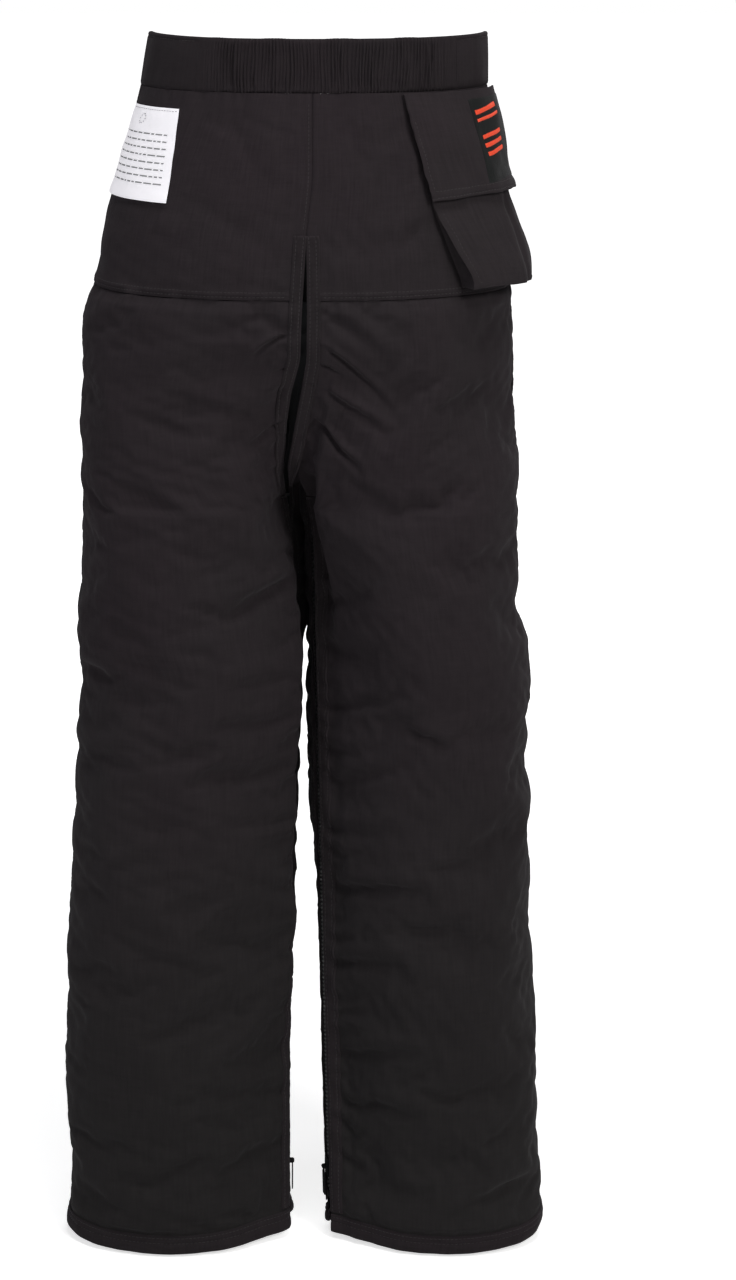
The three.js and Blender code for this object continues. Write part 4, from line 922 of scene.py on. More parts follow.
# ------------------------------------------------------------------ edge strips
def strip(name, side, end, z0, z1, width, shift=None, replaces=(), rows=None, creases=(), point=0.0):
    zs = between(ZS, z0, z1, ()) if rows is None else rows
    e = np.array([-0.5, 0.0, 0.5, 1.1, 1.7, 2.3, 3.0, 4.2, 5.4, 6.6, 7.6, 8.3, 8.9, 9.5, 10.2, 11.0, 11.6, 12.0]) * width / 12
    E, Zg = np.meshgrid(e, zs)
    groove = -0.42 * np.exp(-((E - 2.0 * width / 12) / 0.55) ** 2) - 0.42 * np.exp(-((E - 8.9 * width / 12) / 0.55) ** 2)
    puff = 0.22 * np.sin(np.pi * np.clip(E / width, 0, 1)) + 0.12 * np.sin(Zg * 0.83 + 3 * np.sin(Zg * 0.11)) * np.sin(np.pi * np.clip(E / width, 0, 1))
    ends = np.minimum(np.minimum(E + 0.5, width - E), 1.2) / 1.2
    o = 0.45 + 0.70 * np.sqrt(np.clip(ends, 0, 1)) + groove + puff
    for cz, lean, deep in creases:
        o = o - deep * np.exp(-((Zg - cz - lean * (E - width / 2)) / 1.5) ** 2) + 0.5 * deep * np.exp(-((Zg - cz - 3.6 - lean * (E - width / 2)) / 2.2) ** 2)
    L = length(side, Zg)
    Ec = np.clip(E, 0, None)
    U = -end * (1 - 2 * Ec / L) if end < 0 else 1 - 2 * Ec / L
    U = np.where(end < 0, -1 + 2 * Ec / L, 1 - 2 * Ec / L)
    outer, inner = at(side, U, Zg, o), at(side, U, Zg, np.minimum(0.12 + 0 * o, o - 0.3))
    over = (E - Ec)[..., None]
    if shift is not None:
        dx, dy = shift(Zg, E)
        for g in (outer, inner):
            g[..., 0] += dx
            g[..., 1] += dy
    tang = at(side, np.where(end < 0, -1 + 6 / L, 1 - 6 / L), Zg, 0) - at(side, np.full(L.shape, float(end)), Zg, 0)
    tang /= np.linalg.norm(tang, axis=2, keepdims=True)
    outer += tang * over
    inner += tang * over
    uv = np.stack([E / 1000, Zg / 1000], -1)
    return build_mesh(name, *sheet_data(outer, inner, uv), BAND, slot="band_fabric", replaces=replaces), (outer, E, Zg)


STITCH = {}


def strip_stitches(key, data, cols, width):
    outer, E, Zg = data
    pile = STITCH.setdefault(key, Pile())
    for c in cols:
        j = int(np.argmin(np.abs(E[0] - c * width / 12)))
        pts = outer[:, j]
        side_v = outer[:, min(j + 1, E.shape[1] - 1)] - outer[:, j - 1]
        up = np.gradient(pts, axis=0)
        n = np.cross(side_v, up)
        n /= np.linalg.norm(n, axis=1, keepdims=True) + 1e-9
        out = np.array([pts[len(pts) // 2, 0], pts[len(pts) // 2, 1], 0]) - np.array([-100 if pts[:, 0].mean() < 0 else 100, 0, 0])
        flip = np.sign((n * np.array([0, np.sign(pts[:, 1].mean()) or -1, 0])).sum(1).mean()) or 1
        stitch_line(pile, pts + n * flip * 0.10, n * flip, width=0.55)


def right_tip(Zg, E):
    """The right strip hangs free at its lower end and points down to the left."""
    path = soft([(664, -17.0), (672, -16.4), (693, -13.6), (710, -10.6), (726, -8.0), (745, -5.0)], Zg, 3)
    edge = at("right", np.full(Zg.shape, -1.0), Zg, 0)[..., 0]
    k = 1 - step(722, 748, Zg)
    dx = (path - edge) * k
    tip = np.clip((684 - Zg) / 20, 0, 1)
    dx = dx + tip * (5.5 - E) * 0.75 - tip * 0.5
    return dx, -1.6 * k - 1.2 * tip


for side in ("left", "right"):
    S = -1 if side == "left" else 1
    kw = dict(creases=((762.3, -0.35, 0.8), (740.0, -0.2, 0.9), (712.7, 0.15, 1.1), (784, 0.2, 0.4)), shift=right_tip) if side == "right" else dict(creases=((790, 0.3, 0.5), (748, 0.4, 0.6), (716, 0.5, 0.8)))
    ob, data = strip(f"slit_binding_{side}", side, -1, 664 if side == "right" else 655, 893, 11.0, replaces=(f"slit_binding_{side}",), **kw)
    strip_stitches("slit_stitching_" + side, data, (2.0, 8.9), 11.0)
    r = np.random.RandomState(90 + S)
    cr = [(z + 6 * r.rand(), 0.3 * (r.rand() - 0.5), 0.35 + 0.5 * r.rand()) for z in range(60, 640, 27)]
    ob, data = strip(f"zip_facing_{side}", side, -1, 19, 652, 12.0, replaces=(f"zip_facing_{side}",), creases=cr)
    strip_stitches("zip_stitching_" + side, data, (2.0, 8.9), 12.0)
    ob, data = strip(f"front_binding_{side}", side, 1, 19, 1010, 12.0, replaces=(f"front_binding_{side}",), creases=cr)
    strip_stitches("front_stitching_" + side, data, (2.0, 8.9), 12.0)

    # topstitching of the yoke seam, side seams and hem
    pile = STITCH.setdefault("seam_stitching_" + side, Pile())
    us = dense(-1 + 24 / 400, -0.006, 0.006)
    for z, o in ((840.2, 0.36), (844.2, 0.36)):
        stitch_line(pile, *surface_line(side, us, np.full(us.shape, z), o))
    for z in (14.2, 9.95):
        us2 = dense(-0.995, 0.995, 0.005)
        stitch_line(pile, *surface_line(side, us2, np.full(us2.shape, z), 1.22))
    zz = dense(24, 1008, 3.0)
    stitch_line(pile, *surface_line(side, 5.0 * 2 / length(side, zz), zz, 0.12))
    stitch_line(pile, *surface_line(side, 1.6 * 2 / length(side, zz) + 0.006, zz, 0.05))
    if side == "left":
        zz = dense(898, 1008, 3.0)
        stitch_line(pile, *surface_line(side, -1 + 3.4 * 2 / length(side, zz), zz, 0.12))

# ------------------------------------------------------------------ waistband
BAND_Z0, BAND_Z1 = 1012.9, 1060.0
MOVE = np.array([1, -1])
BACK_END = {"left": -0.41, "right": -0.27}


def band_row(side, us, flip=False):
    q, total = row(side, 1040.0, us)
    t = np.gradient(q, axis=0)
    n = np.stack([t[:, 1], -t[:, 0]], 1)
    n /= np.linalg.norm(n, axis=1, keepdims=True)
    if flip:
        n = -n
    return q, n, total


def band_points(q, n, off, z, lean=0.0):
    drop = 0.18 * (q[:, 1] + np.hypot(q[:, 1], 10))
    narrow = 7.5 * min(1.0, max(0.0, (z - BAND_Z0) / 47)) * np.clip(-q[:, 0] / 125, 0, 1) ** 2
    return np.stack([q[:, 0] + narrow + n[:, 0] * off, q[:, 1] + n[:, 1] * off, z - drop], 1)


ul = np.linspace(BACK_END["left"], -1, 300)
ur = np.linspace(-1, BACK_END["right"], 370)[1:]
ql, nl, tl = band_row("left", ul)
qr, nr, tr = band_row("right", ur)
q, nn = np.concatenate([ql, qr]), np.concatenate([nl, nr])
ss = np.concatenate([[0], np.cumsum(np.hypot(*np.diff(q, axis=0).T))])
mid = float(np.interp(0, np.concatenate([ul * 0 + (ul - (-1)) * -1, (ur + 1)]), ss))
r = np.random.RandomState(7)
ribs, x = [], 0.0
while x < ss[-1] + 4:
    ribs.append((x, 0.55 + 0.6 * r.rand(), 0.9 + 0.5 * r.rand(), r.rand(), r.rand()))
    x += 2.45 + 1.15 * r.rand()
prof = [(0.0, BAND_Z0 - 0.2), (0.75, BAND_Z0 + 0.3), (1.0, BAND_Z0 + 1.6)]
heights = np.concatenate([[BAND_Z0 + 0.0], BAND_Z0 + np.array([0.7, 1.8, 3.2]), np.linspace(BAND_Z0 + 5, BAND_Z1 - 4, 22), BAND_Z1 - np.array([2.4, 1.1, 0.3]), [BAND_Z1]])
body_off = np.interp(heights, [BAND_Z0, BAND_Z0 + 0.9, BAND_Z0 + 3, BAND_Z1 - 3, BAND_Z1 - 0.8, BAND_Z1], [-0.9, 0.2, 0.7, 0.7, 0.1, -1.2])
outer = np.zeros((len(heights), len(q), 3))
fade = step(0, 34, ss) * (1 - step(ss[-1] - 26, ss[-1] - 2, ss))
for j, z in enumerate(heights):
    v = (z - BAND_Z0) / (BAND_Z1 - BAND_Z0)
    lean = 2.6 * step(0.35, 1, ss / ss[-1]) * (v - 0.5) + 0.5 * np.sin(v * 5 + ss * 0.06)
    h = np.zeros(len(q))
    for c, amp, wide, ph, kk in ribs:
        d = ss - c - lean - 0.35 * np.sin(v * (3 + 3 * kk) + ph * 6.3)
        h += amp * (0.72 + 0.28 * np.sin(v * 9 * kk + ph * 6)) * np.exp(-(d / (wide * 0.66)) ** 2)
    calm = 1 - 0.55 * np.exp(-((v - 0.06) / 0.05) ** 2) - 0.45 * np.exp(-((v - 0.94) / 0.05) ** 2)
    h = (h * 2.5 - 0.85) * calm * fade + 0.5 * np.sin(ss * 0.14) * np.sin(v * 3.0 + ss * 0.05) * fade
    pts = band_points(q, nn, body_off[j] + h, z)
    pts[:, 2] += 0.9 * np.sin(ss * 0.11) * step(0.7, 1.0, v) * fade * 0.6
    outer[j] = pts
inner_off = [-1.8, -4.6, -5.0, -5.0, -4.4, -1.8]
inner_z = [BAND_Z1 - 0.1, BAND_Z1 - 1.5, BAND_Z1 - 6, BAND_Z0 + 6, BAND_Z0 + 0.8, BAND_Z0 - 0.1]
innerpts = []
for o, z in zip([-2.6, -4.4, -5.0, -5.15, -5.15, -5.0, -4.4, -2.4], [BAND_Z1 - 0.05, BAND_Z1 - 0.8, BAND_Z1 - 3, 1045, 1028, BAND_Z0 + 3, BAND_Z0 + 0.6, BAND_Z0 - 0.1]):
    innerpts.append(band_points(q, nn, o + 0.25 * np.sin(ss * 1.9) * (abs(z - 1036) < 22) * fade, z))
loop = np.concatenate([outer, np.array(innerpts)], 0).transpose(1, 0, 2)
uvb = np.stack([np.repeat(ss[:, None] / 1000, loop.shape[1], 1), np.repeat((np.arange(loop.shape[1]) * 2.0 / 1000)[None], len(ss), 0)], -1)
swept("waistband_back", loop, uvb, BAND, slot="band_fabric", replaces=("waistband_back",), angle=70)
# the elastic lies inside the casing
eo = np.array([[-1.9, 1016.5], [-1.9, 1036], [-1.9, 1056.5], [-3.9, 1056.5], [-3.9, 1036], [-3.9, 1016.5]])
st = np.stack([band_points(q[::3], nn[::3], o + 0.12 * np.sin(ss[::3] * 1.1), z) for o, z in eo], 1)
uve = np.stack([np.repeat(ss[::3, None] / 1000, 6, 1), np.repeat((eo[:, 1] / 1000)[None], len(ss[::3]), 0)], -1)
swept("waist_elastic", st, uve, WEB, slot="webbing", replaces=("waist_elastic",))
for side in ("left", "right"):
    us = np.linspace(BACK_END[side], 1, 150)
    q2, n2, tot = band_row(side, us, side == "left")
    s2 = (us - us[0]) / 2 * tot
    prof = [(-0.9, BAND_Z0), (0.2, BAND_Z0 + 0.9), (0.7, BAND_Z0 + 3.0), (0.7, BAND_Z0 + 8.0), (0.75, 1028), (0.8, 1040), (0.6, BAND_Z1 - 5.2),
            (0.14, BAND_Z1 - 4.0), (0.14, BAND_Z1 - 3.6), (0.5, BAND_Z1 - 2.4), (0.25, BAND_Z1 - 0.9), (-0.8, BAND_Z1 - 0.05), (-2.4, BAND_Z1), (-3.9, BAND_Z1 - 0.6), (-4.5, BAND_Z1 - 2.5), (-4.6, 1040),
            (-4.6, 1028), (-4.5, BAND_Z0 + 3), (-3.9, BAND_Z0 + 0.6), (-2.4, BAND_Z0)]
    ends = 1 - step(s2[-1] - 3, s2[-1], s2)
    st = np.stack([band_points(q2, n2, (o + 0.35 * np.sin(s2 * 0.21 + z * 0.05) * (o > -1) - (-2.2)) * (0.55 + 0.45 * ends) - 2.2, z) for o, z in prof], 1)
    uv = np.stack([np.repeat(s2[:, None] / 1000, len(prof), 1), np.repeat((np.arange(len(prof)) * 3.0 / 1000)[None], len(us), 0)], -1)
    swept(f"waistband_front_{side}", st, uv, BAND, slot="band_fabric", replaces=(f"waistband_front_{side}",))
    pile = STITCH.setdefault("band_stitching", Pile())
    for z in (BAND_Z1 - 3.8,):
        stitch_line(pile, band_points(q2, n2, 0.32, z)[3:-3], np.stack([n2[:, 0], n2[:, 1], 0 * n2[:, 0]], 1)[3:-3])

# ------------------------------------------------------------------ zips


def rail(side, z, t, n):
    p2, n2, t2 = zip_point(side, z)
    a, b, _ = (np.array(v, float) for v in ZIP_LINE[side])
    p = a + (b - a) * (z - a[2]) / (b[2] - a[2])
    return p + np.array([*t2, 0]) * t + np.array([*n2, 0]) * n


def tooth(pile, side, z, k):
    """One moulded tooth: a foot clamped on the tape's bead and a rounded head across the centre line."""
    shape = [(0.1, 0.85), (1.0, 0.95), (2.2, 0.62), (3.7, 0.80), (4.1, 0.7)]
    rings = []
    for t, hz in shape:
        hn = 1.45 if t > 0.5 else 1.2
        rings.append([rail(side, z + a * hz, k * (t - 0.55 * (t < 0.5)) * 1.0, b * hn) for a, b in ((-1, -0.7), (-0.7, -1), (0.7, -1), (1, -0.7), (1, 0.7), (0.7, 1), (-0.7, 1), (-1, 0.7))])
    v = np.array(rings).reshape(-1, 3)
    f = []
    for i in range(len(shape) - 1):
        for j in range(8):
            p, q_ = i * 8 + j, i * 8 + (j + 1) % 8
            f += [(p, q_, q_ + 8), (p, q_ + 8, p + 8)]
    last = (len(shape) - 1) * 8
    for j in range(1, 7):
        f += [(0, j + 1, j), (last, last + j, last + j + 1)]
    if k < 0:
        f = [(a, c, b) for a, b, c in f]
    if side == "right":
        f = [(a, c, b) for a, b, c in f]
    pile.add(v, f)


for side in ("left", "right"):
    for end, word in ((-1, "back"), (1, "front")):
        zz = np.linspace(36, 640, 120)
        ts = [0.9, 3.0, 3.6, 7, 11.3, 11.5, 11.3, 7, 3.6, 3.0, 0.9]
        ns = [-0.9, -0.9, -0.45, -0.4, -0.35, 0, 0.35, 0.4, 0.45, 0.9, 0.9]
        ts = [1.6, 2.6, 3.4, 5.5, 8, 11.2, 11.5, 11.2, 8, 5.5, 3.4, 2.6, 1.6]
        ns = [-0.8, -1.0, -0.42, -0.4, -0.4, -0.36, 0, 0.36, 0.4, 0.4, 0.42, 1.0, 0.8]
        st = np.array([[rail(side, z, end * t, n) for t, n in zip(ts, ns)] for z in zz])
        uv = np.stack([np.repeat((np.array(ts) / 1000)[None], len(zz), 0), np.repeat(zz[:, None] / 1000, len(ts), 1)], -1)
        swept(f"{side}_zip_tape_{word}", st, uv, TAPE, slot="zip_chain", replaces=(f"{side}_zip_stringer_{word}",))
        pile = Pile()
        z = 38.0 + (1.8 if end > 0 else 0)
        while z < 638:
            tooth(pile, side, z, end)
            z += 3.6
        pile.done(f"{side}_zip_teeth_{word}", TEETH, slot="zip_chain")
    zz = np.linspace(37, 640, 60)
    prof = [(-12, -8.6), (-8, -8.3), (0, -8.2), (8, -8.3), (12, -8.6), (12, -9.0), (8, -9.1), (0, -9.2), (-8, -9.1), (-12, -9.0)]
    st = np.array([[rail(side, z, t, n + 0.3 * math.sin(z * 0.09)) for t, n in prof] for z in zz])
    uv = np.stack([np.repeat((np.array([p_[0] for p_ in prof]) / 1000)[None], len(zz), 0), np.repeat(zz[:, None] / 1000, len(prof), 1)], -1)
    swept(f"{side}_zip_guard_cloth", st, uv, LINER, slot="lining_fabric", replaces=(f"{side}_zip_guard",))

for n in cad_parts:
    if n.endswith(("_slider", "_pull", "_retainer", "_end_stop")) or n.startswith("buckle_"):
        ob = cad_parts[n]
        ob.data.materials.clear()
        ob.data.materials.append(PLASTIC if n.startswith("buckle_") else METAL)
        weld = ob.modifiers.new("weld", "WELD")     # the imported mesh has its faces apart, and a bevel needs them joined
        weld.merge_threshold = 1e-5
        bev = ob.modifiers.new("edges", "BEVEL")
        bev.width = 0.0007 if n.startswith("buckle_") else 0.00035
        bev.segments, bev.limit_method, bev.angle_limit = 3, "ANGLE", math.radians(32)
        bev.use_clamp_overlap = True
        shade = ob.modifiers.new("shade", "WEIGHTED_NORMAL")
        shade.keep_sharp = False

# ------------------------------------------------------------------ pocket
BAG_OUT = [(846, 21.0), (856, 21.5), (866, 19.6), (880, 15.5), (894, 11.0), (908, 6.6), (922, 4.6), (950, 3.6), (1000, 2.8), (1009, 2.4)]


def bag_off(u, z):
    """How far the pocket's front stands off the trouser cloth."""
    base = soft(BAG_OUT, z, 6)
    crease = -3.6 * np.exp(-((u + 0.098) / 0.026) ** 2) * (1 - step(900, 935, z)) + 1.3 * np.exp(-((u + 0.150) / 0.026) ** 2) * (1 - step(900, 935, z))
    sag = 1.2 * np.sin((u + 0.45) * 7.0) * (1 - step(880, 940, z))
    return base + crease + sag + 0.35 * np.sin(z * 0.16 + u * 22)


def bag_left(z):
    xs = soft([(846, 134.8), (852, 134), (915, 109.5), (930, 108), (1009, 89)], z)
    return np.array([u_of_x("right", float(zz), float(xx)) for zz, xx in zip(np.ravel(z), np.ravel(xs))]).reshape(np.shape(z))


BAG_Z0, BAG_Z1 = 845.0, 1001.0
zs = np.concatenate([[0, 0.18, 0.36, 0.54, 0.7, 0.84, 0.94, 1.0], 1 + np.arange(1, 61)])   # 0..1 runs out along the bottom gusset
panel_z = np.concatenate([np.full(7, BAG_Z0), BAG_Z0 + np.array([0.0, 0.8, 1.8, 3.0, 4.4, 6.0]), np.linspace(BAG_Z0 + 8.5, BAG_Z1, 50)])
gz = np.concatenate([np.array([0, 0.18, 0.36, 0.54, 0.7, 0.84, 0.94]), np.ones(len(panel_z) - 7)])
panel_c = np.concatenate([np.full(7, 0.0), np.array([0.0, 0.006, 0.014, 0.024, 0.034]), np.linspace(0.05, 0.95, 58), np.array([0.966, 0.976, 0.986, 0.994, 1.0]), np.full(7, 1.0)])
gc = np.concatenate([np.array([0, 0.18, 0.36, 0.54, 0.7, 0.84, 0.94]), np.ones(len(panel_c) - 14), np.array([0.94, 0.84, 0.7, 0.54, 0.36, 0.18, 0])])
ubl = bag_left(panel_z)
C, Zb = np.meshgrid(panel_c, panel_z)
G = np.minimum(gc[None, :], gz[:, None])
UL = np.repeat(ubl[:, None], len(panel_c), 1)
U = UL + (0.30 - UL) * C
Lb = 365.0
side_fold = np.where(gc[None, :] < 1, np.sin(np.pi * gc)[None, :] * 5.5 * (1 - step(905, 985, Zb)) * step(846, 866, Zb), 0)
U = U + np.where(C < 0.5, 1, -1) * side_fold * 2 / Lb
bottom_fold = np.where(gz < 1, np.sin(np.pi * gz) * 6.0, 0)[:, None]
Zu = Zb + bottom_fold * step(0.0, 0.10, C) * (1 - step(0.90, 1.0, C))
sagline = -5.0 * np.sin(np.pi * np.clip((C - 0.12) / 0.9, 0, 1)) * (1 - step(846, 900, Zb))
O = 0.5 + (bag_off(U, Zb) - 0.5) * G
edge_round = np.minimum(np.minimum((C) * 130, (1 - C) * 130), Zb - BAG_Z0)
O = O - np.where(G >= 1, 1.2 * np.clip(1 - edge_round / 4.0, 0, 1) ** 2, 0)
seam = -0.55 * np.exp(-((np.minimum(C * 130, (1 - C) * 130) - 4.2) / 0.8) ** 2) - 0.55 * np.exp(-((Zb - BAG_Z0 - 5.0) / 0.8) ** 2)
O = O + np.where(G >= 1, seam, 0)
Za = np.clip(Zu, 840, 1003)
outer = at("right", U, Za, O)
outer[..., 2] += sagline
inner = at("right", U, Za, np.where(G >= 1, O - 1.1, np.maximum(O - 1.1, 0.15)))
inner[..., 2] += sagline
pull_in = np.where(gc[None, :] < 1, 1.1, 0) * np.where(C < 0.5, 1, -1)
inner_u = U + pull_in * 2 / Lb
inner = at("right", inner_u, Za + np.where(gz < 1, 1.1, 0)[:, None], np.maximum(np.where(G >= 1, O - 1.1, O - 0.3), 0.12))
inner[..., 2] += sagline
uv = np.stack([C * 0.14 + gc[None, :] * 0.02, Zb / 1000 + gz[:, None] * 0.02], -1)
build_mesh("pocket_bag", *sheet_data(outer, inner, uv), POCKET, slot="shell_fabric", replaces=("pocket_bag",), angle=60, close=True)
pile = STITCH.setdefault("pocket_stitching", Pile())
zl = dense(BAG_Z0 + 5, 996, 2.0)
ul_ = bag_left(zl)
for c in (4.2,):
    uu = ul_ + c * 2 / Lb
    stitch_line(pile, *surface_line("right", uu, zl, bag_off(uu, zl) - 0.5))
ub = np.linspace(float(bag_left(np.array([BAG_Z0 + 5]))[0]) + 0.024, 0.278, 120)
p1, n1 = surface_line("right", ub, np.full(ub.shape, BAG_Z0 + 5.0), bag_off(ub, np.full(ub.shape, BAG_Z0 + 5.0)) - 0.5)
cc = (ub - ub[0]) / (ub[-1] - ub[0])
p1[:, 2] += -5.0 * np.sin(np.pi * np.clip((cc - 0.12) / 0.9, 0, 1))
stitch_line(pile, p1, n1)

# flap: from the waist seam down over the bag
FL0, FL1 = 919.5, 1011.5


def flap_left(z):
    xs = soft([(915, 107.5), (925, 106.0), (1013, 82.8)], z)
    return np.array([u_of_x("right", float(zz), float(xx)) for zz, xx in zip(np.ravel(z), np.ravel(xs))]).reshape(np.shape(z))


def flap_off(u, z):
    flare = 3.4 * (1 - step(922, 940, z)) * np.exp(-((u + 0.02) / 0.10) ** 2)
    curl = 0.8 * (1 - step(921, 930, z)) * np.sin(u * 26)
    return soft(BAG_OUT, z, 6) + 4.6 - 1.6 * step(985, 1011, z) + flare + curl + 0.55 * np.sin(u * 17 + z * 0.06) * (1 - step(990, 1011, z)) + 0.3 * np.sin(u * 41 - z * 0.11)


zf = np.concatenate([FL0 + np.array([0, 0.5, 1.1, 1.8, 2.6, 3.4, 4.2, 5.2, 6.4, 7.6, 8.4, 9.2, 10.0, 11.0, 12.5]), np.linspace(FL0 + 15, FL1 - 3, 30), FL1 - np.array([2, 1, 0])])
cf = np.concatenate([np.array([0, 0.004, 0.009, 0.016, 0.024, 0.032, 0.042]), np.linspace(0.06, 0.94, 64), 1 - np.array([0.042, 0.032, 0.024, 0.016, 0.009, 0.004, 0])])
C, Zf = np.meshgrid(cf, zf)
UL = np.repeat(flap_left(zf)[:, None], len(cf), 1)
U = UL + (0.34 - UL) * C
d = np.minimum(np.minimum(C, 1 - C) * 150, Zf - FL0)
O = flap_off(U, Zf) + roll(d, 0.8, 2.0)
O = O - 0.45 * np.exp(-((Zf - FL0 - 2.6) / 0.7) ** 2) - 0.45 * np.exp(-((Zf - FL0 - 8.6) / 0.7) ** 2) - 0.35 * np.exp(-((C * 150 - 3.4) / 0.8) ** 2)
O = O + 0.35 * (1 - step(FL0 + 8.6, FL0 + 10, Zf))
hemline = 2.5 * np.sin(C * 4.4) * (1 - step(FL0, 950, Zf))
outer = at("right", U, np.clip(Zf, 0, 1012.9), O)
inner = at("right", U, np.clip(Zf, 0, 1012.9), O - 1.7 - 0.9 * roll(d, 1, 2.0))
for g in (outer, inner):
    g[..., 2] += hemline + np.maximum(Zf - 1012.9, 0)
uv = np.stack([C * 0.15, Zf / 1000], -1)
flap = build_mesh("pocket_flap", *sheet_data(outer, inner, uv), POCKET, ride=False, slot="shell_fabric", replaces=("pocket_flap",), angle=60)
FLAP_AXIS_Z = 1009.85
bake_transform(flap)
flap_pile = Pile()
for dz in (2.6, 8.6):
    uu = np.linspace(float(flap_left(np.array([FL0 + dz]))[0]) + 0.02, 0.32, 150)
    zz = np.full(uu.shape, FL0 + dz)
    p1, n1 = surface_line("right", uu, zz, flap_off(uu, zz) - 0.3 + 0.35)
    p1[:, 2] += 2.5 * np.sin((uu - uu[0]) / (0.34 - uu[0]) * 4.4) * (1 - step(FL0, 950, zz))
    stitch_line(flap_pile, p1, n1)
zz = dense(FL0 + 10, 990, 2.0)
uu = flap_left(zz) + 3.4 * 2 / Lb
stitch_line(flap_pile, *surface_line("right", uu, zz, flap_off(uu, zz) - 0.2))
flap_pile.done("flap_stitching", THREAD, body="pocket_flap", slot="shell_fabric")


def thin(name, side, u0, u1, z0, z1, off, thick, mat, slot, body, replaces=(), nu=40, nz=20, bump=0.0, slant=None, edge=0.35):
    us, zs_ = np.linspace(u0, u1, nu), np.linspace(z0, z1, nz)
    U, Zg = np.meshgrid(us, zs_)
    if slant is not None:
        U = slant(U, Zg, us)
    o = off(U, Zg) if callable(off) else np.full(U.shape, float(off))
    I, J = np.meshgrid(np.arange(nu), np.arange(nz))
    rim = (I == 0) | (I == nu - 1) | (J == 0) | (J == nz - 1)
    pile_ = bump * np.sin(U * 700) * np.sin(Zg * 3.1)
    outer, inner = at(side, U, Zg, o + pile_ - edge * thick * rim), at(side, U, Zg, o - thick)
    return build_mesh(name, *sheet_data(outer, inner, surface_uv(side, U, Zg)), mat, body=body, slot=slot, replaces=replaces)


thin("pocket_loop_tape", "right", -0.2, 0.15, 926, 946, lambda u, z: bag_off(u, z) + 1.1, 0.9, HOOK, "webbing", "garment", ("pocket_loop_tape",), 90, 16, 0.12)
thin("flap_hook_tape", "right", -0.2, 0.15, 926, 946, lambda u, z: flap_off(u, z) - 1.9, 0.8, HOOK, "webbing", "pocket_flap", ("flap_hook_tape",), 90, 16, 0.12)

# emblem: a dark patch with plain level bars in satin stitch
ue0 = u_of_x("right", 970, 145.5)
thin("flap_patch", "right", ue0, 0.13, 931, 1004, lambda u, z: flap_off(u, z) + 0.55, 0.5, PATCH, "embroidery", "pocket_flap", ("flap_patch",), 60, 40)
emb = Pile()


def on_patch(a, z):
    """a is millimetres round the pocket from the patch's back edge."""
    u = ue0 + 0.006 + a * 2 / Lb
    p_, n_ = surface_line("right", np.array([u]), np.array([z]), float(flap_off(u, z)) + 0.62)
    return p_[0], n_[0]


def satin(quad, pitch=0.52, width=0.72):
    """Fills a four-cornered bar with threads that run between its two long sides."""
    a0, a1, b0, b1 = (np.array(v, float) for v in quad)
    n_ = max(3, int(np.linalg.norm(a1 - a0) / pitch))
    for i in range(n_ + 1):
        t = i / n_
        p_, q_ = a0 + (a1 - a0) * t, b0 + (b1 - b0) * t
        (pa, na), (pb, nb) = on_patch(*p_), on_patch(*q_)
        thread(emb, pa, pb, (na + nb) / 2, width, 0.55, 0.18)


for quad in (
    ((3, 994), (31, 999), (3, 989.8), (31, 994.8)), ((3, 986.4), (31, 991.4), (3, 983.4), (31, 988.4)),
    ((5, 972), (29, 976.3), (5, 968), (29, 972.3)), ((5, 964.5), (29, 968.8), (5, 960.5), (29, 964.8)),
    ((5, 957), (29, 961.3), (5, 953), (29, 957.3)),
):
    satin(quad)
emb.done("emblem_stitching", ORANGE, body="pocket_flap", slot="embroidery")

# ------------------------------------------------------------------ care label
def label_slant(U, Zg, us):
    lo = np.array([u_of_x("left", z, float(np.interp(z, [917, 997], [-119.0, -108.5]))) for z in Zg[:, 0]])
    t = (us - us[0]) / (us[-1] - us[0])
    return lo[:, None] + (-0.03 - lo)[:, None] * t[None, :]


def label_off(u, z):
    return 1.7 + 0.5 * np.sin((u + 0.3) * 14) * np.sin((z - 917) / 80 * math.pi) + 0.9 * (1 - step(917, 928, z)) + 0.25 * np.sin(z * 0.2 + u * 30)


thin("care_label", "left", -0.45, -0.03, 917, 997, label_off, 0.45, LABEL, "label", "garment", ("care_label",), 60, 50, slant=label_slant)
pr = Pile()


def bar(pile_, side, ua, ub_, za, zb, off, thick=0.08, nu=6):
    us_ = np.linspace(ua, ub_, nu)
    U_, Z_ = np.meshgrid(us_, [za, zb])
    v, f, _ = sheet_data(at(side, U_, Z_, off(U_, Z_) + thick), at(side, U_, Z_, off(U_, Z_) + 0.01), np.zeros((2, nu, 2)))
    if side == "left":
        f = f[:, ::-1]
    pile_.add(v, np.concatenate([f[:, [0, 1, 2]], f[:, [0, 2, 3]]]))


r = np.random.RandomState(5)
for i, z in enumerate(np.linspace(974, 932, 8)):
    lo = u_of_x("left", float(z), float(np.interp(z, [917, 997], [-119.0, -108.5])) - 7)
    u, stop = lo, -0.08
    while u < stop - 0.02:
        wlen = 0.012 + 0.03 * r.rand()
        bar(pr, "left", u, min(u + wlen, stop), z - 0.75, z + 0.55, label_off)
        u += wlen + 0.008
for k in range(10):     # a plain ring mark above the lines
    a0, a1 = k / 10 * math.tau, (k + 0.8) / 10 * math.tau
    lo = u_of_x("left", 986.0, -140.0)
    bar(pr, "left", lo + 0.018 * math.cos(a0), lo + 0.018 * math.cos(a0) + 0.006, 986 + 4.2 * math.sin(a0) - 0.5, 986 + 4.2 * math.sin(a0) + 0.6, label_off, nu=3)
pr.done("label_print", PRINT, body="garment", slot="label")
lab_pile = STITCH.setdefault("label_stitching", Pile())
zz = np.full(40, 994.5)
uu = np.linspace(u_of_x("left", 994.5, -110), -0.05, 40)
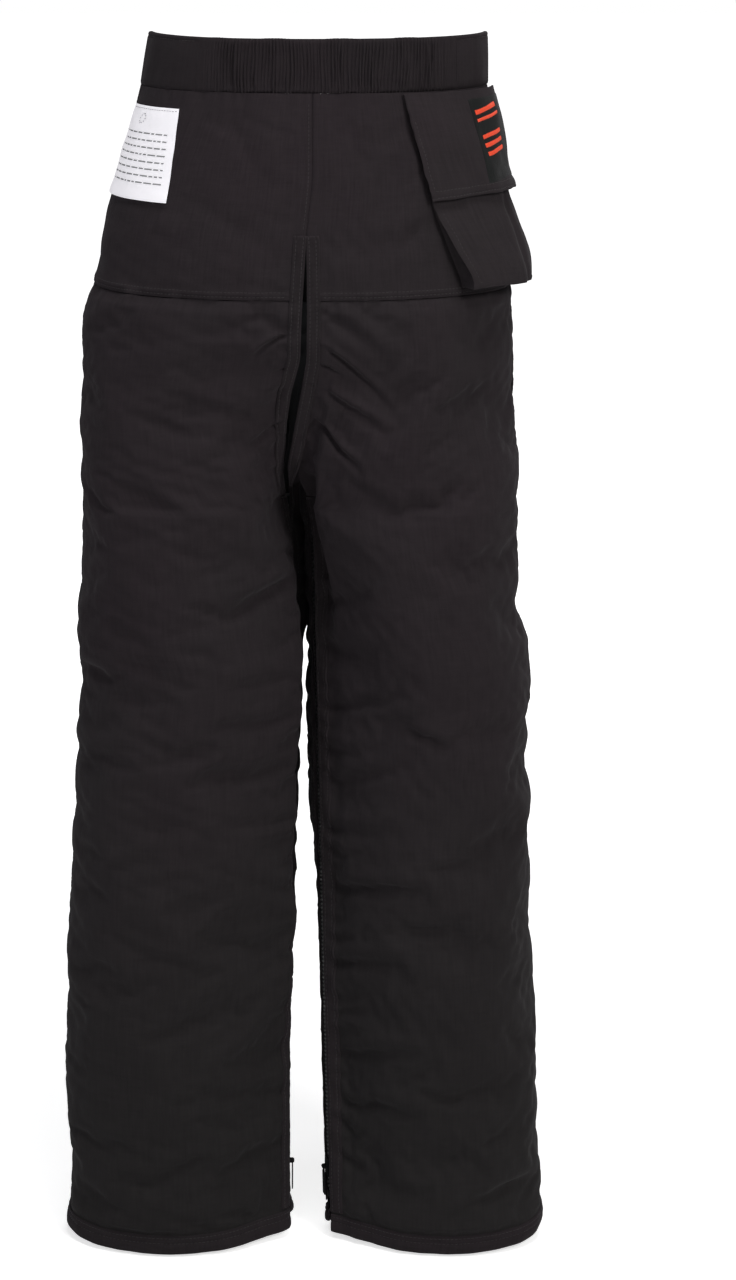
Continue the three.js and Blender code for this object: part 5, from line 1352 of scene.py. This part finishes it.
stitch_line(lab_pile, *surface_line("left", uu, zz, label_off(uu, zz) + 0.08), pitch=3.0, dash=2.1, width=0.45)

# ------------------------------------------------------------------ belt
BX, FRONT_Y = 6.0, 90.0
BZ = 1036.7 - 0.18 * (FRONT_Y + math.hypot(FRONT_Y, 10))
by0 = FRONT_Y + 2.6
barY0, barY1 = by0 + 2.8, by0 + 6.2
wy = FRONT_Y + 1.25


def ribbon(name, k, body=None):
    turn, barx = (26, 33) if k < 0 else (17, 31.5)
    path = [(84, wy), (45, wy), (34, barY0 - 1.2), (turn + 0.9, barY0 - 1.2), (turn, barY0 - 0.3), (turn, barY1 + 0.3), (turn + 0.9, barY1 + 1.2), (barx, barY1 + 1.2), (46, wy + 2.1), (66 if k < 0 else 78, wy + 2.1)]
    pts = np.array([(BX + k * x, y) for x, y in path], float)
    seg = np.hypot(*np.diff(pts, axis=0).T)
    acc = np.concatenate([[0], np.cumsum(seg)])
    s = np.array(sorted(set(np.round(np.concatenate([acc, np.arange(0, acc[-1], 0.9)]), 3))))
    p = np.stack([np.interp(s, acc, pts[:, 0]), np.interp(s, acc, pts[:, 1])], 1)
    for _ in range(2):
        p[1:-1] = p[1:-1] * 0.5 + (p[:-2] + p[2:]) * 0.25
    t = np.gradient(p, axis=0)
    t /= np.linalg.norm(t, axis=1, keepdims=True)
    n = np.stack([-t[:, 1], t[:, 0]], 1)
    w = np.array([-18, -17.8, -17.2, -15.5, -12, -8, -4, 0, 4, 8, 12, 15.5, 17.2, 17.8, 18])
    th = np.interp(np.abs(w), [0, 15.5, 17.2, 17.8, 18], [0.72, 0.72, 0.6, 0.35, 0.12])
    rib = 0.07 * np.sin(s * 2 * math.pi / 1.5)[:, None] * np.cos(w * 1.1)[None, :]
    up = [np.concatenate([p[i] + n[i] * 0, [0]]) for i in range(0)]
    loop_ = []
    for sgn in (1, -1):
        ww = w if sgn > 0 else w[::-1][1:-1]
        tt = th if sgn > 0 else th[::-1][1:-1]
        rb = rib if sgn > 0 else rib[:, ::-1][:, 1:-1]
        loop_.append(np.stack([p[:, None, 0] + n[:, None, 0] * (tt[None, :] + rb) * sgn, p[:, None, 1] + n[:, None, 1] * (tt[None, :] + rb) * sgn, BZ + np.repeat(ww[None, :], len(s), 0)], -1))
    st_ = np.concatenate(loop_, 1)
    uv_ = np.stack([np.repeat(s[:, None] / 1000, st_.shape[1], 1), (st_[..., 2]) / 1000], -1)
    side = "left" if k < 0 else "right"
    return swept(name, st_, uv_, WEB, slot="webbing", replaces=(f"belt_webbing_{side}",), ride=body is not None, body=body or "garment")


ribbon("belt_webbing_left", -1, "garment")
wr = ribbon("belt_webbing_right", 1)
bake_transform(wr)
bt = Pile()
for k in (-1, 1):
    for x in (58, 64) if k < 0 else (70, 76):
        zz = np.linspace(BZ - 15, BZ + 15, 14)
        stitch_line(bt, np.stack([np.full(14, BX + k * x), np.full(14, wy + 2.95), zz], 1), np.tile([0, 1.0, 0], (14, 1)), 2.6, 2.0, 0.6)
bt.done("belt_stitching", THREAD, body="garment", slot="webbing")

for key, pile in STITCH.items():
    if pile.n:
        pile.done(key, THREAD, body="garment", slot="band_fabric")

# ------------------------------------------------------------------ stage, light and camera
def stage_mesh(name, verts, faces, color, rough):
    me = bpy.data.meshes.new(name)
    me.from_pydata(verts, [], faces)
    m = bpy.data.materials.new(name)
    m.use_nodes = True
    b = m.node_tree.nodes["Principled BSDF"]
    b.inputs["Base Color"].default_value = (*color, 1)
    b.inputs["Roughness"].default_value = rough
    nt = m.node_tree
    ray = nt.nodes.new("ShaderNodeLightPath").outputs["Is Camera Ray"]     # looks evenly lit without lighting the cloth from below
    b.inputs["Emission Color"].default_value = (1, 1, 1, 1)
    far = nt.nodes.new("ShaderNodeVectorMath")
    far.operation = "LENGTH"
    nt.links.new(nt.nodes.new("ShaderNodeNewGeometry").outputs["Position"], far.inputs[0])
    r = nt.nodes.new("ShaderNodeMapRange")
    r.interpolation_type = "SMOOTHSTEP"
    for key, v in (("From Min", 0.5), ("From Max", 2.6), ("To Min", 0.66), ("To Max", 1.05)):
        r.inputs[key].default_value = v
    nt.links.new(far.outputs["Value"], r.inputs["Value"])
    nt.links.new(maths(nt, "MULTIPLY", ray, r.outputs[0]), b.inputs["Emission Strength"])
    me.materials.append(m)
    ob = bpy.data.objects.new(name, me)
    bpy.context.scene.collection.objects.link(ob)
    ob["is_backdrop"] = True
    return ob


zf0 = -0.002
stage_mesh("floor", [(-12, -12, zf0), (12, -12, zf0), (12, 12, zf0), (-12, 12, zf0)], [(0, 1, 2, 3)], (0.93, 0.93, 0.93), 0.95)

world = bpy.data.worlds.new("studio")
bpy.context.scene.world = world
world.use_nodes = True
wt = world.node_tree
wt.nodes["Background"].inputs[0].default_value = (1.0, 1.0, 1.0, 1)
wt.nodes["Background"].inputs[1].default_value = 0.11
seen = wt.nodes.new("ShaderNodeBackground")
seen.inputs[0].default_value, seen.inputs[1].default_value = (1.0, 1.0, 1.0, 1), 1.0
path, pick = wt.nodes.new("ShaderNodeLightPath"), wt.nodes.new("ShaderNodeMixShader")
wt.links.new(path.outputs["Is Camera Ray"], pick.inputs[0])
wt.links.new(wt.nodes["Background"].outputs[0], pick.inputs[1])
wt.links.new(seen.outputs[0], pick.inputs[2])
wt.links.new(pick.outputs[0], next(n for n in wt.nodes if n.type == "OUTPUT_WORLD").inputs[0])


def area(name, loc, target, size, power, color=(1, 1, 1)):
    li = bpy.data.lights.new(name, "AREA")
    li.shape, li.size, li.size_y = "RECTANGLE", size[0], size[1]
    li.energy, li.color = power, color
    ob = bpy.data.objects.new(name, li)
    ob.location = loc
    ob.rotation_euler = (Vector(target) - Vector(loc)).to_track_quat("-Z", "Y").to_euler()
    bpy.context.scene.collection.objects.link(ob)


area("key", (1.9, -2.6, 2.5), (0, 0, 0.6), (0.8, 0.8), 52, (1.0, 0.985, 0.97))
area("fill", (-2.9, -1.5, 1.9), (0, 0, 0.6), (1.0, 1.0), 17, (0.93, 0.92, 1.0))
area("top", (0.1, -0.8, 3.1), (0, 0, 0.5), (1.0, 0.7), 26)
area("rear", (1.0, 3.0, 2.4), (0, 0, 0.6), (1.4, 1.4), 30)

cam = bpy.data.cameras.new("camera")
cam.sensor_fit, cam.sensor_width = "AUTO", 36
cam.lens = 36 * EYE_D / VIEW_H
cam_ob = bpy.data.objects.new("camera", cam)
cam_ob.location = (SHIFT[0] / 1000, -EYE_D / 1000 + SHIFT[1] / 1000, (EYE_H + SHIFT[2]) / 1000)
cam_ob.rotation_euler = (math.pi / 2, 0, 0)
cam.clip_start, cam.clip_end = 0.05, 60
bpy.context.scene.collection.objects.link(cam_ob)
bpy.context.scene.camera = cam_ob
# The lens is shifted, not tilted, at this station only: away from it the shift is zero, so other views stay centred.
home = bpy.data.objects.new("camera_station", None)
home.location = cam_ob.location
bpy.context.scene.collection.objects.link(home)
for path, value in (("shift_x", 0.0492), ("shift_y", -0.7418)):
    fc = cam.driver_add(path)
    fc.driver.type = "SUM"
    var = fc.driver.variables.new()
    var.name, var.type = "away", "LOC_DIFF"
    var.targets[0].id, var.targets[1].id = cam_ob, home
    for m in list(fc.modifiers):
        fc.modifiers.remove(m)
    for x, y in ((0.0, value), (0.002, value), (0.02, 0.0)):
        kp = fc.keyframe_points.insert(x, y)
        kp.interpolation = "LINEAR"
    fc.extrapolation = "CONSTANT"

bpy.context.scene.view_settings.view_transform = "Standard"
bpy.context.scene.view_settings.look = "None"

lo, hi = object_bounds()
